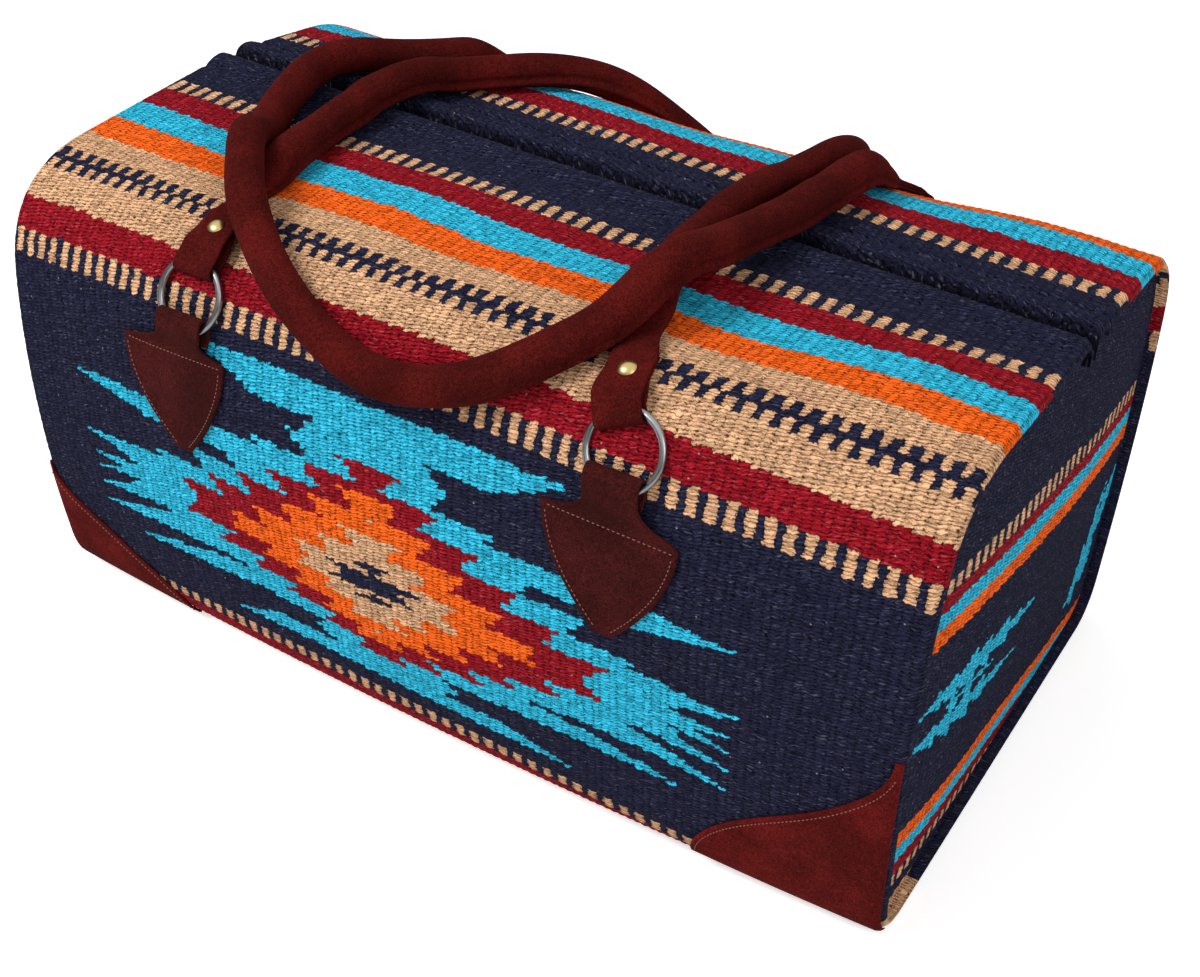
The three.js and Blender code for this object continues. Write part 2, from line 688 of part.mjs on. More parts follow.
function makeHandles() {
  const at = (x, girth) => new THREE.Vector2(x, girth);
  const front = handleRoute(SIDES.front, [
    at(FRONT_CREST_LEFT_X, FRONT_CREST_LEFT_GIRTH),
    at(FRONT_SHOULDER_LEFT_X, FRONT_SHOULDER_LEFT_GIRTH),
    at(FRONT_BIGHT_X, FRONT_BIGHT_GIRTH),
    at(FRONT_SHOULDER_RIGHT_X, FRONT_SHOULDER_RIGHT_GIRTH),
    at(FRONT_CREST_RIGHT_X, FRONT_CREST_RIGHT_GIRTH),
  ]);
  const back = handleRoute(SIDES.back, [
    at(BACK_RISE_X, BACK_RISE_GIRTH),
    at(BACK_CREST_LEFT_X, BACK_CREST_LEFT_GIRTH),
    at(BACK_SHOULDER_LEFT_X, BACK_SHOULDER_LEFT_GIRTH),
    at(BACK_BIGHT_X, BACK_BIGHT_GIRTH),
    at(BACK_SHOULDER_RIGHT_X, BACK_SHOULDER_RIGHT_GIRTH),
    at(BACK_CREST_RIGHT_X, BACK_CREST_RIGHT_GIRTH),
  ]);
  makeHandle("front_handle", SIDES.front, front);
  makeHandle("back_handle", SIDES.back, drapedOver(back, front));
}

// Zip: it lies on a straight slope under the hems, so its pieces are made level and then tilted

const zipTilt = Math.atan((ZIP_HEIGHT_LEFT - ZIP_HEIGHT_RIGHT) / LENGTH);
const zipReach = LENGTH / 2 - PANEL_INSET - PANEL_CLOTH - SEAT_GAP;
const zipLeft = leanAt(-LENGTH / 2, ZIP_HEIGHT_LEFT) - zipReach;
const zipLength = zipReach - zipLeft;
const tapeTop = -HEM_CLOTH - SEAT_GAP;
const plateTop = -HEM_CLOTH - SLIDER_CLEARANCE;
const rowTop = plateTop - SLIDER_PLATE - PLAY;
const rowMiddle = rowTop - ROW_HEIGHT / 2;
const rowOuter = ROW_GAP / 2 + ROW_WIDTH;
const sliderX = zipLeft + SLIDER_END_GAP + SLIDER_LENGTH / 2;
const pinHeight = plateTop + EAR_RADIUS;

function onZip(geometry) {
  return geometry.rotateY(zipTilt).translate(0, ZIP_Y, zipHeight(0));
}

// Each tape lies under its hem, steps down and carries its row of teeth
function makeTape(name, side) {
  const edge = rowOuter + SEAT_GAP;
  const level = rowMiddle + TAPE_THICKNESS / 2;
  const stations = Array.from({ length: STATIONS + 1 }, (_, i) => lerp(-zipReach, zipReach, i / STATIONS));
  const face = (drop) =>
    stations.map((x) => {
      const beside = (y) => bagPoint(x, 0).add(new THREE.Vector3(0, -side * y, level - drop));
      const below = (y) => offBag(x, side * y, tapeTop - drop);
      return [beside(edge), beside(edge + TAPE_FLAT), below(edge + 2 * TAPE_FLAT), below(edge + TAPE_WIDTH)];
    });
  place(name, slab(face(0), face(TAPE_THICKNESS)), tape);
}

// A row of teeth: a strip notched along the edge that faces the other row
function makeTeeth(name, side) {
  const count = Math.floor((zipLength - TOOTH_PITCH) / TOOTH_PITCH);
  const outline = new THREE.Shape();
  outline.moveTo(zipLeft, rowOuter);
  for (let i = 0; i < count; i++) {
    const x = zipLeft + i * TOOTH_PITCH;
    outline.lineTo(x, ROW_GAP / 2);
    outline.lineTo(x + TOOTH_LENGTH, ROW_GAP / 2);
    outline.lineTo(x + TOOTH_LENGTH, ROW_GAP / 2 + TOOTH_RELIEF);
    outline.lineTo(x + TOOTH_PITCH, ROW_GAP / 2 + TOOTH_RELIEF);
  }
  outline.lineTo(zipLeft + count * TOOTH_PITCH, rowOuter);
  outline.closePath();
  const row = new THREE.ExtrudeGeometry(outline, { depth: ROW_HEIGHT, bevelEnabled: false });
  row.translate(0, 0, -ROW_HEIGHT / 2);
  if (side === SIDES.front) row.rotateX(Math.PI);
  place(name, onZip(row.translate(0, 0, rowMiddle)), brass);
}

function block(length, width, height, x, y, z) {
  return new THREE.BoxGeometry(length, width, height).translate(x, y, z);
}

// The slider: two plates joined by a web between the rows, with ears and a pin for the pull
function makeSlider() {
  const under = rowTop - ROW_HEIGHT - PLAY - SLIDER_PLATE;
  const plate = (z) => block(SLIDER_LENGTH, SLIDER_WIDTH, SLIDER_PLATE, sliderX, 0, z + SLIDER_PLATE / 2);
  const web = block(SLIDER_LENGTH, SLIDER_WEB, plateTop - under, sliderX, 0, (plateTop + under) / 2);
  const earY = PULL_WIDTH / 2 + PLAY + EAR_THICKNESS / 2;
  const earHeight = 2 * EAR_RADIUS;
  const ear = (y) => block(earHeight, EAR_THICKNESS, earHeight, sliderX, y, pinHeight - PLAY);
  const pin = new THREE.CylinderGeometry(PIN_RADIUS, PIN_RADIUS, 2 * earY, WIRE_SIDES);
  pin.translate(sliderX, 0, pinHeight);
  const slider = join(plate(plateTop - SLIDER_PLATE), plate(under), web, ear(-earY), ear(earY), pin);
  place("zip_slider", onZip(slider), brass);
}

// The pull: a flat bar that lies along the zip, with an eye on the slider's pin
function makePull() {
  const bar = new THREE.Shape();
  bar.moveTo(0, PULL_THICKNESS / 2);
  bar.absarc(0, 0, PULL_EYE_RADIUS, Math.PI / 2, (3 * Math.PI) / 2, false);
  bar.lineTo(PULL_EYE_RADIUS, -PULL_THICKNESS / 2);
  bar.lineTo(PULL_LENGTH, -PULL_THICKNESS / 2);
  bar.lineTo(PULL_LENGTH, PULL_THICKNESS / 2);
  bar.lineTo(PULL_EYE_RADIUS, PULL_THICKNESS / 2);
  bar.closePath();
  const eye = new THREE.Path();
  eye.absarc(0, 0, PIN_RADIUS + PLAY, 0, 2 * Math.PI, true);
  bar.holes.push(eye);
  const options = { depth: PULL_WIDTH, bevelEnabled: false, curveSegments: WIRE_SIDES };
  const pull = new THREE.ExtrudeGeometry(bar, options).translate(0, 0, -PULL_WIDTH / 2);
  pull.rotateX(Math.PI / 2).translate(sliderX, 0, pinHeight);
  place("zip_pull", onZip(pull), brass);
}

makeWrap();
makeEndPanel("left_end_panel", ENDS.left);
makeEndPanel("right_end_panel", ENDS.right);
makeCornerPatch("corner_patch_front_left", ENDS.left, SIDES.front, PATCH_RISE_FRONT_LEFT);
makeCornerPatch("corner_patch_front_right", ENDS.right, SIDES.front, PATCH_RISE_FRONT_RIGHT);
makeCornerPatch("corner_patch_back_left", ENDS.left, SIDES.back, PATCH_RISE_BACK);
makeCornerPatch("corner_patch_back_right", ENDS.right, SIDES.back, PATCH_RISE_BACK);
for (const [sideName, side] of Object.entries(SIDES)) {
  for (const [endName, end] of Object.entries(ENDS)) {
    makeRingTab(`${sideName}_ring_tab_${endName}`, end, side);
    makeRing(`${sideName}_ring_${endName}`, end, side);
  }
  makeTape(`zip_tape_${sideName}`, side);
  makeTeeth(`zip_teeth_${sideName}`, side);
}
makeHandles();
makeSlider();
makePull();

// The origin is under the middle of the whole bag
const middle = new THREE.Box3().setFromObject(bag).getCenter(new THREE.Vector3());
bag.children.forEach((piece) => piece.geometry.translate(-middle.x, -middle.y, 0));

export default bag;
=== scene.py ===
"""Woven duffel bag: cloth, suede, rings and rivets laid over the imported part, as a small add-on."""

import math

import bpy
import numpy as np
from bpy.props import FloatProperty, FloatVectorProperty, PointerProperty
from bpy.types import Operator, Panel, PropertyGroup
from mathutils import Matrix, Vector


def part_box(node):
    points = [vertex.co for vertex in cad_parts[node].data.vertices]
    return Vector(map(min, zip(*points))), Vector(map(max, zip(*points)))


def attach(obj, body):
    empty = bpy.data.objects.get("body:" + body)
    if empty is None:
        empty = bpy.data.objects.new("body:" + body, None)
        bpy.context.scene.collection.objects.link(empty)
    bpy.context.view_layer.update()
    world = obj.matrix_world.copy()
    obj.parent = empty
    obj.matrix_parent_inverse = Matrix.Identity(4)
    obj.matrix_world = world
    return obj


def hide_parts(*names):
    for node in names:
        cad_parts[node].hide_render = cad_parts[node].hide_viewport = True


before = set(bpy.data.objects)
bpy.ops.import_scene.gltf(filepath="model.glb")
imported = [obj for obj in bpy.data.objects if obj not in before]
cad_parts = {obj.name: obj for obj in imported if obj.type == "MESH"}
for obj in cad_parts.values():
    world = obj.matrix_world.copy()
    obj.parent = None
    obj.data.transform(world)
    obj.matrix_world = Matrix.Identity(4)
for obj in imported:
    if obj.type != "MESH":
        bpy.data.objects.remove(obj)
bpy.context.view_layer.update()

bl_info = {
    "name": "Woven duffel bag",
    "version": (1, 0, 0),
    "blender": (4, 5, 0),
    "location": "3D View > Sidebar > Duffel",
    "description": "Builds the cloth, suede and fittings of a woven duffel bag",
    "category": "Add Mesh",
}

MM = 0.001
SIDES = {"front": 1, "back": -1}
ENDS = {"left": -1, "right": 1}


def size_of(name, description, value):
    return FloatProperty(
        name=name, description=description, default=value, subtype="DISTANCE", unit="LENGTH"
    )


def angle_of(name, description, degrees):
    return FloatProperty(
        name=name,
        description=description,
        default=math.radians(degrees),
        subtype="ANGLE",
        unit="ROTATION",
    )


def share_of(name, description, value):
    return FloatProperty(name=name, description=description, default=value, subtype="FACTOR")


def power_of(name, description, value):
    return FloatProperty(name=name, description=description, default=value, unit="POWER")


def colour_of(name, description, red, green, blue):
    return FloatVectorProperty(
        name=name,
        description=description,
        default=(red / 255, green / 255, blue / 255),
        subtype="COLOR_GAMMA",
        size=3,
        min=0,
        max=1,
    )


# Sizes and colours


class DuffelForm(PropertyGroup):
    """The slumped shape of the bag."""

    length: size_of("Length", "Length from end seam to end seam", 610 * MM)
    base_depth: size_of("Base depth", "Depth of the base", 339 * MM)
    top_depth: size_of("Top depth", "Depth between the top corners", 332 * MM)
    front_height: size_of("Front height", "Height of the front top corner", 298 * MM)
    back_left: size_of("Back height, left", "Height of the back top corner, left", 300 * MM)
    back_middle: size_of("Back height, middle", "Height of the back top corner midway", 297 * MM)
    back_right: size_of("Back height, right", "Height of the back top corner, right", 286 * MM)
    zip_left: size_of("Zip height, left", "Height of the zip at the left end", 314 * MM)
    zip_right: size_of("Zip height, right", "Height of the zip at the right end", 290 * MM)
    zip_back: size_of("Zip set-back", "How far the zip lies behind the middle", 20 * MM)
    shift_left: size_of("Top shift, left", "How far the top leans back at the left", -8 * MM)
    shift_middle: size_of("Top shift, middle", "How far the top leans back midway", -12 * MM)
    shift_right: size_of("Top shift, right", "How far the top leans back at the right", 7 * MM)
    left_lean: size_of("Left lean", "How far the left end leans in at its top", 10 * MM)
    bulge: size_of("Face bulge", "How far the faces swell out", 9.5 * MM)
    top_round: size_of("Top rounding", "Run of the rounded top edges", 60 * MM)
    base_round: size_of("Base rounding", "Run of the rounded base edges", 30 * MM)
    base_swell: size_of("Base swell", "How far the front base edge swells out midway", 9 * MM)
    sag: size_of("Sag", "Height of the cloth's soft waves", 1.3 * MM)
    slot: size_of("Zip slot", "Opening between the hems", 8 * MM)
    hem: size_of("Hem width", "Width of the folded hems", 20 * MM)
    hem_puff: size_of("Hem puff", "Rise of the folded hems", 2.8 * MM)
    hem_edge: size_of("Hem edge", "Rounding of the hem's edge", 5 * MM)
    crease_front: size_of("Front crease", "Depth of the front hem's sewn crease", 0.8 * MM)
    crease_back: size_of("Back crease", "Depth of the back hem's sewn crease", 5 * MM)
    lip: size_of("End lip", "Radius of the rolled edge at both ends", 6 * MM)
    panel_swell: size_of("Panel swell", "How far the end cloths swell out", 5.5 * MM)
    panel_inset: size_of("Panel inset", "How far the end cloths' rims lie in from the ends", 7 * MM)
    panel_slack: size_of("Panel slack", "Room between an end cloth's rim and the lip", 0.5 * MM)
    panel_slope: angle_of("Panel slope", "How the end cloths' stripes fall towards the back", 9.4)


class DuffelCloth(PropertyGroup):
    """Weave, stripes and yarn colours."""

    warp: size_of("Warp pitch", "Mean width of a column of beads", 5.15 * MM)
    bead: size_of("Bead pitch", "Height of one bead of weft", 2.2 * MM)
    relief: size_of("Relief", "Height of a bead", 0.6 * MM)
    dash_start: size_of("First dashes", "Girth where the upper dashes start", 50 * MM)
    red_start: size_of("Upper red", "Girth where the upper red band starts", 63 * MM)
    blue_start: size_of("Blue", "Girth where the blue band starts", 84 * MM)
    orange_start: size_of("Orange", "Girth where the orange band starts", 107.5 * MM)
    tan_start: size_of("Tan", "Girth where the tan band starts", 130 * MM)
    zigzag_start: size_of("Zigzag", "Girth where the zigzag starts", 150 * MM)
    zigzag_end: size_of("Zigzag end", "Girth where the zigzag ends", 168 * MM)
    lower_red_start: size_of("Lower red", "Girth where the lower red band starts", 188.6 * MM)
    lower_dash_start: size_of("Lower dashes", "Girth where the lower dashes start", 209 * MM)
    field_start: size_of("Field", "Girth where the navy field starts", 223 * MM)
    middle: size_of("Field middle", "Girth where the stripes turn back", 335 * MM)
    diamond_girth: size_of("Diamond girth", "Girth of the diamond's middle", 356 * MM)
    diamond_x: size_of("Diamond place", "Where the diamond's middle lies along the bag", -18 * MM)
    edge_start: size_of("Edge start", "Girth where the stripes start to crowd", 441 * MM)
    edge_end: size_of("Edge end", "Girth where the stripes have crowded", 460 * MM)
    edge_crowd: size_of("Edge crowding", "How much the stripes crowd at the base edge", 9 * MM)
    low_lip: size_of("Low lip", "Girth below which the end lips are plain", 440 * MM)
    back_take: size_of("Back take-up", "How much sooner the stripes come on the back", 7 * MM)
    navy: colour_of("Navy", "Ground yarn", 35, 36, 59)
    tan: colour_of("Tan", "Undyed yarn", 220, 170, 129)
    orange: colour_of("Orange", "Orange yarn", 255, 104, 26)
    red: colour_of("Red", "Crimson yarn", 150, 20, 34)
    blue: colour_of("Blue", "Turquoise yarn", 50, 190, 226)
    # lint is also the colour of the painted highlight on the bead crowns
    lint: colour_of("Lint", "Pale specks caught in the cloth", 190, 190, 196)


class DuffelSuede(PropertyGroup):
    """Tabs, patches and handles."""

    ring_left: size_of("Left rings", "Where the left rings hang along the bag", -147 * MM)
    ring_right: size_of("Right rings", "Where the right rings hang along the bag", 139 * MM)
    ring_inner: size_of("Ring inner", "Inner diameter of a ring", 38 * MM)
    ring_wire: size_of("Ring wire", "Diameter of the ring's wire", 4 * MM)
    tilt_front: angle_of("Front tilt", "How far the front rings lean in", 28)
    tilt_back: angle_of("Back tilt", "How far the back rings lean in", 8)
    eye_front: size_of("Front eyes", "Height of the front tabs' eyes", 250 * MM)
    eye_back: size_of("Back eyes", "Height of the back tabs' eyes", 213 * MM)
    foot_turn: angle_of("Strap turn", "How far the front right strap sits round its ring", -24)
    hide: size_of("Hide", "Thickness of the suede", 2 * MM)
    seat: size_of("Seat", "Room between suede and cloth", 0.4 * MM)
    play: size_of("Play", "Room round a ring's wire", 0.35 * MM)
    tab_width: size_of("Tab width", "Width from horn to horn", 79 * MM)
    tab_height: size_of("Tab height", "Height of the shield", 70 * MM)
    tab_tip: size_of("Tab tip", "Width of the shield's tip", 10 * MM)
    tab_drop: size_of("Tab drop", "From the eye down to the horns", 24 * MM)
    tab_drop_left: size_of("Left tab drop", "From the front left eye down to the horns", 18 * MM)
    tab_left: size_of("Left tab shift", "How far the front left tab lies off its ring", -13 * MM)
    tab_right: size_of("Right tab shift", "How far the front right tab lies off its ring", -3 * MM)
    neck: size_of("Neck bore", "Width that the rings turn in", 26 * MM)
    neck_width: size_of("Neck", "Width of the folded neck", 32 * MM)
    fold_out: size_of("Fold depth", "Half the depth of the neck's fold", 4.6 * MM)
    fold_up: size_of("Fold height", "Height of the neck's fold over its axis", 9 * MM)
    patch_run: size_of("Patch run", "Length of a patch along the base", 114 * MM)
    patch_left: size_of("Front left rise", "Height of the front left patch", 92 * MM)
    patch_right: size_of("Front right rise", "Height of the front right patch", 142 * MM)
    patch_back: size_of("Back rise", "Height of the back patches", 115 * MM)
    patch_gap: size_of("Patch gap", "From the end seam to a patch", 1.5 * MM)
    patch_foot: size_of("Patch foot", "Height of a patch's lower edge", 6 * MM)
    patch_tip: size_of("Patch tip", "Width of a patch's upper end", 4 * MM)
    patch_hide: size_of("Patch hide", "Thickness of the patches", 1.6 * MM)
    tube: size_of("Handle tube", "Diameter of the rolled grip", 22 * MM)
    strap: size_of("Strap width", "Width of the flat strap ends", 24 * MM)
    strap_foot: size_of("Strap foot", "Width of a strap where it goes round its ring", 27 * MM)
    strap_thick: size_of("Strap thickness", "Thickness of the doubled strap", 5 * MM)
    strap_length: size_of("Strap length", "Flat run of a strap end", 40 * MM)
    strap_taper: size_of("Strap taper", "Run over which a strap rolls up", 50 * MM)
    pinch: share_of("Strap pinch", "How far a strap narrows above its rivet", 0.42)
    pinch_place: size_of("Pinch place", "From the ring to the narrowest place", 45 * MM)
    pinch_run: size_of("Pinch run", "Run over which the strap narrows", 14 * MM)
    grip_start: size_of("Grip start", "From the ring to where the solid strap starts", 17 * MM)
    fold_reach: size_of("Fold reach", "How far the fold round a ring runs up the strap", 28 * MM)
    neck_tail: size_of("Neck tail", "How far a neck's end hangs down behind its fold", 9 * MM)
    lay_gap: size_of("Lay gap", "Room between handle and cloth", 0.8 * MM)
    rivet_reach: size_of("Rivet reach", "From the strap's start to its rivet", 14 * MM)
    rivet: size_of("Rivet", "Radius of a rivet's cap", 5 * MM)
    rivet_rise: size_of("Rivet rise", "Height of a rivet's dome", 2 * MM)
    stitch: size_of("Stitch", "Length of a stitch", 1.6 * MM)
    stitch_pitch: size_of("Stitch pitch", "From stitch to stitch", 2.9 * MM)
    stitch_inset: size_of("Stitch inset", "From a tab's edge to its seam", 3 * MM)
    patch_inset: size_of("Patch inset", "From a patch's edge to its seam", 3.2 * MM)
    top_inset: size_of("Top inset", "From a tab's horns down to its upper seam", 2.2 * MM)
    thread: size_of("Thread", "Thickness of the thread", 0.3 * MM)
    handle_colour: colour_of("Handle suede", "Dyed suede of the handles", 69, 17, 15)
    tab_colour: colour_of("Tab suede", "Dyed suede of the tabs", 58, 21, 20)
    patch_colour: colour_of("Patch suede", "Dyed suede of the patches", 84, 21, 19)
    thread_colour: colour_of("Thread", "Sewing thread", 132, 86, 76)
    steel: colour_of("Ring metal", "Satin nickel", 150, 151, 153)
    brass: colour_of("Brass", "Rivet metal", 196, 172, 116)
    tape: colour_of("Zip tape", "Tape beside the zip", 20, 21, 40)
    teeth: colour_of("Zip metal", "Zip teeth and slider", 120, 116, 108)


class DuffelStage(PropertyGroup):
    """Camera, floor and lamps."""

    azimuth: angle_of("Azimuth", "Where the camera stands round the bag", 31.96)
    elevation: angle_of("Elevation", "How high the camera stands", 35.78)
    roll: angle_of("Roll", "Turn of the camera about its own axis", 1.11)
    distance: size_of("Distance", "From the camera to the point it looks at", 975 * MM)
    target_x: size_of("Target X", "Point the camera looks at, along the bag", 60.2 * MM)
    target_y: size_of("Target Y", "Point the camera looks at, across the bag", -65.8 * MM)
    target_z: size_of("Target Z", "Point the camera looks at, height", 150 * MM)
    lens: FloatProperty(
        name="Lens", description="Focal length in millimetres", default=49.36, unit="CAMERA"
    )
    floor: size_of("Floor", "Half the side of the floor", 6.0)
    key: power_of("Key lamp", "Power of the main lamp", 41)
    fill: power_of("Fill lamp", "Power of the side lamp", 12)
    sky: share_of("Sky", "Strength of the even light all round", 0.55)


# Shape of the bag


def smooth(value, low, high):
    """Eased step from low to high: t^2 (3 - 2 t)."""
    t = np.clip((value - low) / (high - low), 0, 1)
    return t * t * (3 - 2 * t)


def mix(a, b, t):
    return a + (b - a) * t


def unit(vectors):
    return vectors / np.maximum(np.linalg.norm(vectors, axis=-1, keepdims=True), 1e-12)


class BagForm:
    """The bag as points over x along it and girth from the zip, which is negative on the back.

    Its section at x goes through lines and curves P(s) = (1 - s)^2 A + 2 s (1 - s) C + s^2 B,
    measured by length. The cloth sags by a sum of long sine waves along the normal.
    """

    STATIONS = 123
    REACH = 620 * MM
    STEP = 1 * MM
    TOP = 120 * MM
    LOWEST = 560 * MM
    WAVES = 9
    WAVE_SEED = 7

    def __init__(self, form):
        self.form = form
        self.half = form.length / 2
        low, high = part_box("zip_pull")
        self.middle_y = (low.y + high.y) / 2 - form.zip_back
        self.x = np.linspace(-self.half, self.half, self.STATIONS)
        self.girth = np.arange(-self.REACH, self.REACH + self.STEP / 2, self.STEP)
        outline = self.outline(self.x)
        steps = np.linalg.norm(np.diff(outline, axis=1), axis=2)
        run = np.concatenate([np.zeros((len(self.x), 1)), np.cumsum(steps, axis=1)], axis=1)
        self.total = run[:, -1]
        table = np.stack([self.along(k, run, outline) for k in range(len(self.x))])
        normal = self.normals(table)
        table = table + normal * self.waves()[..., None]
        self.table = np.concatenate([table, self.normals(table)], axis=2)

    def outline(self, x):
        form = self.form
        t = x / self.half

        def through(left, middle, right):
            return middle + (right - left) / 2 * t + ((right + left) / 2 - middle) * t * t

        def flat(y, z):
            return np.stack(np.broadcast_arrays(y + 0 * t, z + 0 * t), axis=-1)

        def towards(start, end, distance):
            return start + unit(end - start) * distance

        shift = through(form.shift_left, form.shift_middle, form.shift_right)
        back_height = through(form.back_left, form.back_middle, form.back_right)
        lean = np.maximum(0, -x) / self.half * form.left_lean
        slope = (x + lean) / form.length + 0.5
        zip_line = flat(form.zip_back, mix(form.zip_left, form.zip_right, slope))
        front_top = flat(shift - form.top_depth / 2, form.front_height)
        back_top = flat(shift + form.top_depth / 2, back_height)
        front_base = flat(-form.base_depth / 2 - form.base_swell * (1 - t * t), 0)
        back_base = flat(form.base_depth / 2, 0)
        swell = np.array([2 * form.bulge, 0])
        front_face = (front_top + front_base) / 2 - swell
        back_face = (back_top + back_base) / 2 + swell
        top, base = form.top_round, form.base_round
        stops = [
            (None, towards(front_top, zip_line, top)),
            (front_top, towards(front_top, front_face, top)),
            (front_face, towards(front_base, front_face, base)),
            (front_base, towards(front_base, back_base, base)),
            (None, towards(back_base, front_base, base)),
            (back_base, towards(back_base, back_face, base)),
            (back_face, towards(back_top, back_face, top)),
            (back_top, towards(back_top, zip_line, top)),
            (None, zip_line),
        ]
        s = np.linspace(0, 1, 41)[1:, None]
        pieces = [zip_line[:, None, :]]
        start = zip_line
        for control, end in stops:
            a, b = start[:, None, :], end[:, None, :]
            c = (a + b) / 2 if control is None else control[:, None, :]
            pieces.append((1 - s) ** 2 * a + 2 * s * (1 - s) * c + s * s * b)
            start = end
        return np.concatenate(pieces, axis=1)

    def along(self, k, run, outline):
        reach = np.mod(self.girth, run[k, -1])
        y = np.interp(reach, run[k], outline[k, :, 0])
        z = np.interp(reach, run[k], outline[k, :, 1])
        lean = max(0, -self.x[k]) / self.half * self.form.left_lean
        return np.stack([self.x[k] + lean * z / self.form.zip_left, y + self.middle_y, z], axis=1)

    def normals(self, table):
        around = np.gradient(table, self.STEP, axis=1)
        along = np.gradient(table, self.x[1] - self.x[0], axis=0)
        return unit(np.cross(around, along))

    def waves(self):
        """Sum of sag / 3 sin(a x + b g + c), fading out at the zip, the ends and the base."""
        chance = np.random.default_rng(self.WAVE_SEED)
        x, g = np.meshgrid(self.x, self.girth, indexing="ij")
        height = np.zeros_like(x)
        for _ in range(self.WAVES):
            a, b = chance.uniform(14, 46, 2) * chance.choice([-1, 1], 2)
            height += np.sin(a * x + b * np.abs(g) + chance.uniform(0, 2 * np.pi)) / 3
        ends = smooth(self.half - np.abs(x), 0, 40 * MM)
        hems = smooth(np.abs(g), 25 * MM, 70 * MM)
        base = 1 - smooth(np.abs(g), 400 * MM, 450 * MM)
        return self.form.sag * height * ends * hems * base

    def look(self, x, girth):
        x, girth = np.broadcast_arrays(np.asarray(x, float), np.asarray(girth, float))
        i = (x + self.half) / (self.x[1] - self.x[0])
        j = (girth + self.REACH) / self.STEP
        i0 = np.clip(np.floor(i).astype(int), 0, len(self.x) - 2)
        j0 = np.clip(np.floor(j).astype(int), 0, len(self.girth) - 2)
        s, t = (i - i0)[..., None], (j - j0)[..., None]
        table = self.table
        near = mix(table[i0, j0], table[i0 + 1, j0], s)
        far = mix(table[i0, j0 + 1], table[i0 + 1, j0 + 1], s)
        found = mix(near, far, t)
        return found[..., :3], unit(found[..., 3:])

    def at(self, x, girth, off=0.0):
        point, normal = self.look(x, girth)
        return point + normal * np.asarray(off, float)[..., None]

    def girth_at_height(self, x, height, side):
        """Girth on one side where the cloth is at a height, searched from the top down."""
        girth = side * np.arange(self.STEP, self.LOWEST, self.STEP)
        z = self.at(x, girth)[:, 2]
        below = int(np.argmax((z < height) & (np.abs(girth) > self.TOP)))
        share = (z[below - 1] - height) / (z[below - 1] - z[below])
        return mix(girth[below - 1], girth[below], share)

    def girth_near(self, x, point, side):
        """Girth on one side whose cloth is nearest to a point over the top edge."""
        girth = side * np.arange(60 * MM, 260 * MM, 0.25 * MM)
        gaps = np.linalg.norm(self.at(x, girth) - point, axis=1)
        return girth[int(np.argmin(gaps))]


# Meshes


def add_piece(name, points, quads, triangles=None, uv=None):
    """Mesh object from points, quads and triangles, all in numpy; uv is one pair for each point."""
    triangles = np.zeros((0, 3), int) if triangles is None else np.asarray(triangles)
    corners = np.concatenate([np.asarray(quads).reshape(-1), triangles.reshape(-1)])
    sizes = np.concatenate([np.full(len(quads), 4), np.full(len(triangles), 3)])
    starts = np.concatenate([[0], np.cumsum(sizes)[:-1]])
    mesh = bpy.data.meshes.new(name)
    mesh.vertices.add(len(points))
    mesh.vertices.foreach_set("co", np.asarray(points, np.float32).reshape(-1))
    mesh.loops.add(len(corners))
    mesh.loops.foreach_set("vertex_index", corners.astype(np.int32))
    mesh.polygons.add(len(sizes))
    mesh.polygons.foreach_set("loop_start", starts.astype(np.int32))
    mesh.update(calc_edges=True)
    mesh.shade_smooth()
    if uv is not None:
        layer = mesh.uv_layers.new(name="cloth")
        layer.data.foreach_set("uv", np.asarray(uv, np.float32)[corners].reshape(-1))
    if mesh.validate():
        raise RuntimeError(f"{name}: the mesh had faces that could not be used")
    piece = bpy.data.objects.new(name, mesh)
    bpy.context.scene.collection.objects.link(piece)
    return piece


def grid_quads(rows, columns, round_rows=False, round_columns=False):
    """Faces of a grid of points, row by row; a round direction closes on itself."""
    r = np.arange(rows if round_rows else rows - 1)[:, None]
    c = np.arange(columns if round_columns else columns - 1)[None, :]
    r1, c1 = (r + 1) % rows, (c + 1) % columns
    quads = [r * columns + c, r * columns + c1, r1 * columns + c1, r1 * columns + c]
    return np.stack(quads, axis=-1).reshape(-1, 4)


def outward(points, quads, triangles=None):
    """The same faces, turned so that the closed body has a positive volume."""
    triangles = np.zeros((0, 3), int) if triangles is None else np.asarray(triangles)
    split = np.concatenate([quads[:, [0, 1, 2]], quads[:, [0, 2, 3]], triangles])
    a, b, c = (points[split[:, k]] for k in range(3))
    if np.einsum("ij,ij->", a, np.cross(b, c)) < 0:
        return quads[:, ::-1], triangles[:, ::-1]
    return quads, triangles


def add_slab(name, middle, normal, thick, ease_rows, ease_columns):
    """Sheet of hide: middle +- normal thick / 2, drawn together round its rim.

    ease_rows and ease_columns hold 0 at the rim and 1 inside; the smaller one sets the thickness.
    """
    rows, columns = middle.shape[:2]
    swell = np.minimum(ease_rows[:, None], ease_columns[None, :])[..., None] * thick / 2
    top = (middle + normal * swell).reshape(-1, 3)
    low = (middle - normal * swell).reshape(-1, 3)
    inside = np.zeros((rows, columns), bool)
    inside[1:-1, 1:-1] = True
    inside = inside.reshape(-1)
    number = np.arange(rows * columns)
    number[inside] = rows * columns + np.arange(inside.sum())
    points = np.concatenate([top, low[inside]])
    upper = grid_quads(rows, columns)
    lower = number[upper][:, ::-1]
    quads, _ = outward(points, np.concatenate([upper, lower]))
    return add_piece(name, points, quads)


def rim_ease(count):
    """Ease of a cut edge at both ends of a row: 0 on the rim, 1 inside."""
    ease = np.ones(count)
    ease[[0, -1]] = 0
    ease[[1, -2]] = 0.72
    return ease


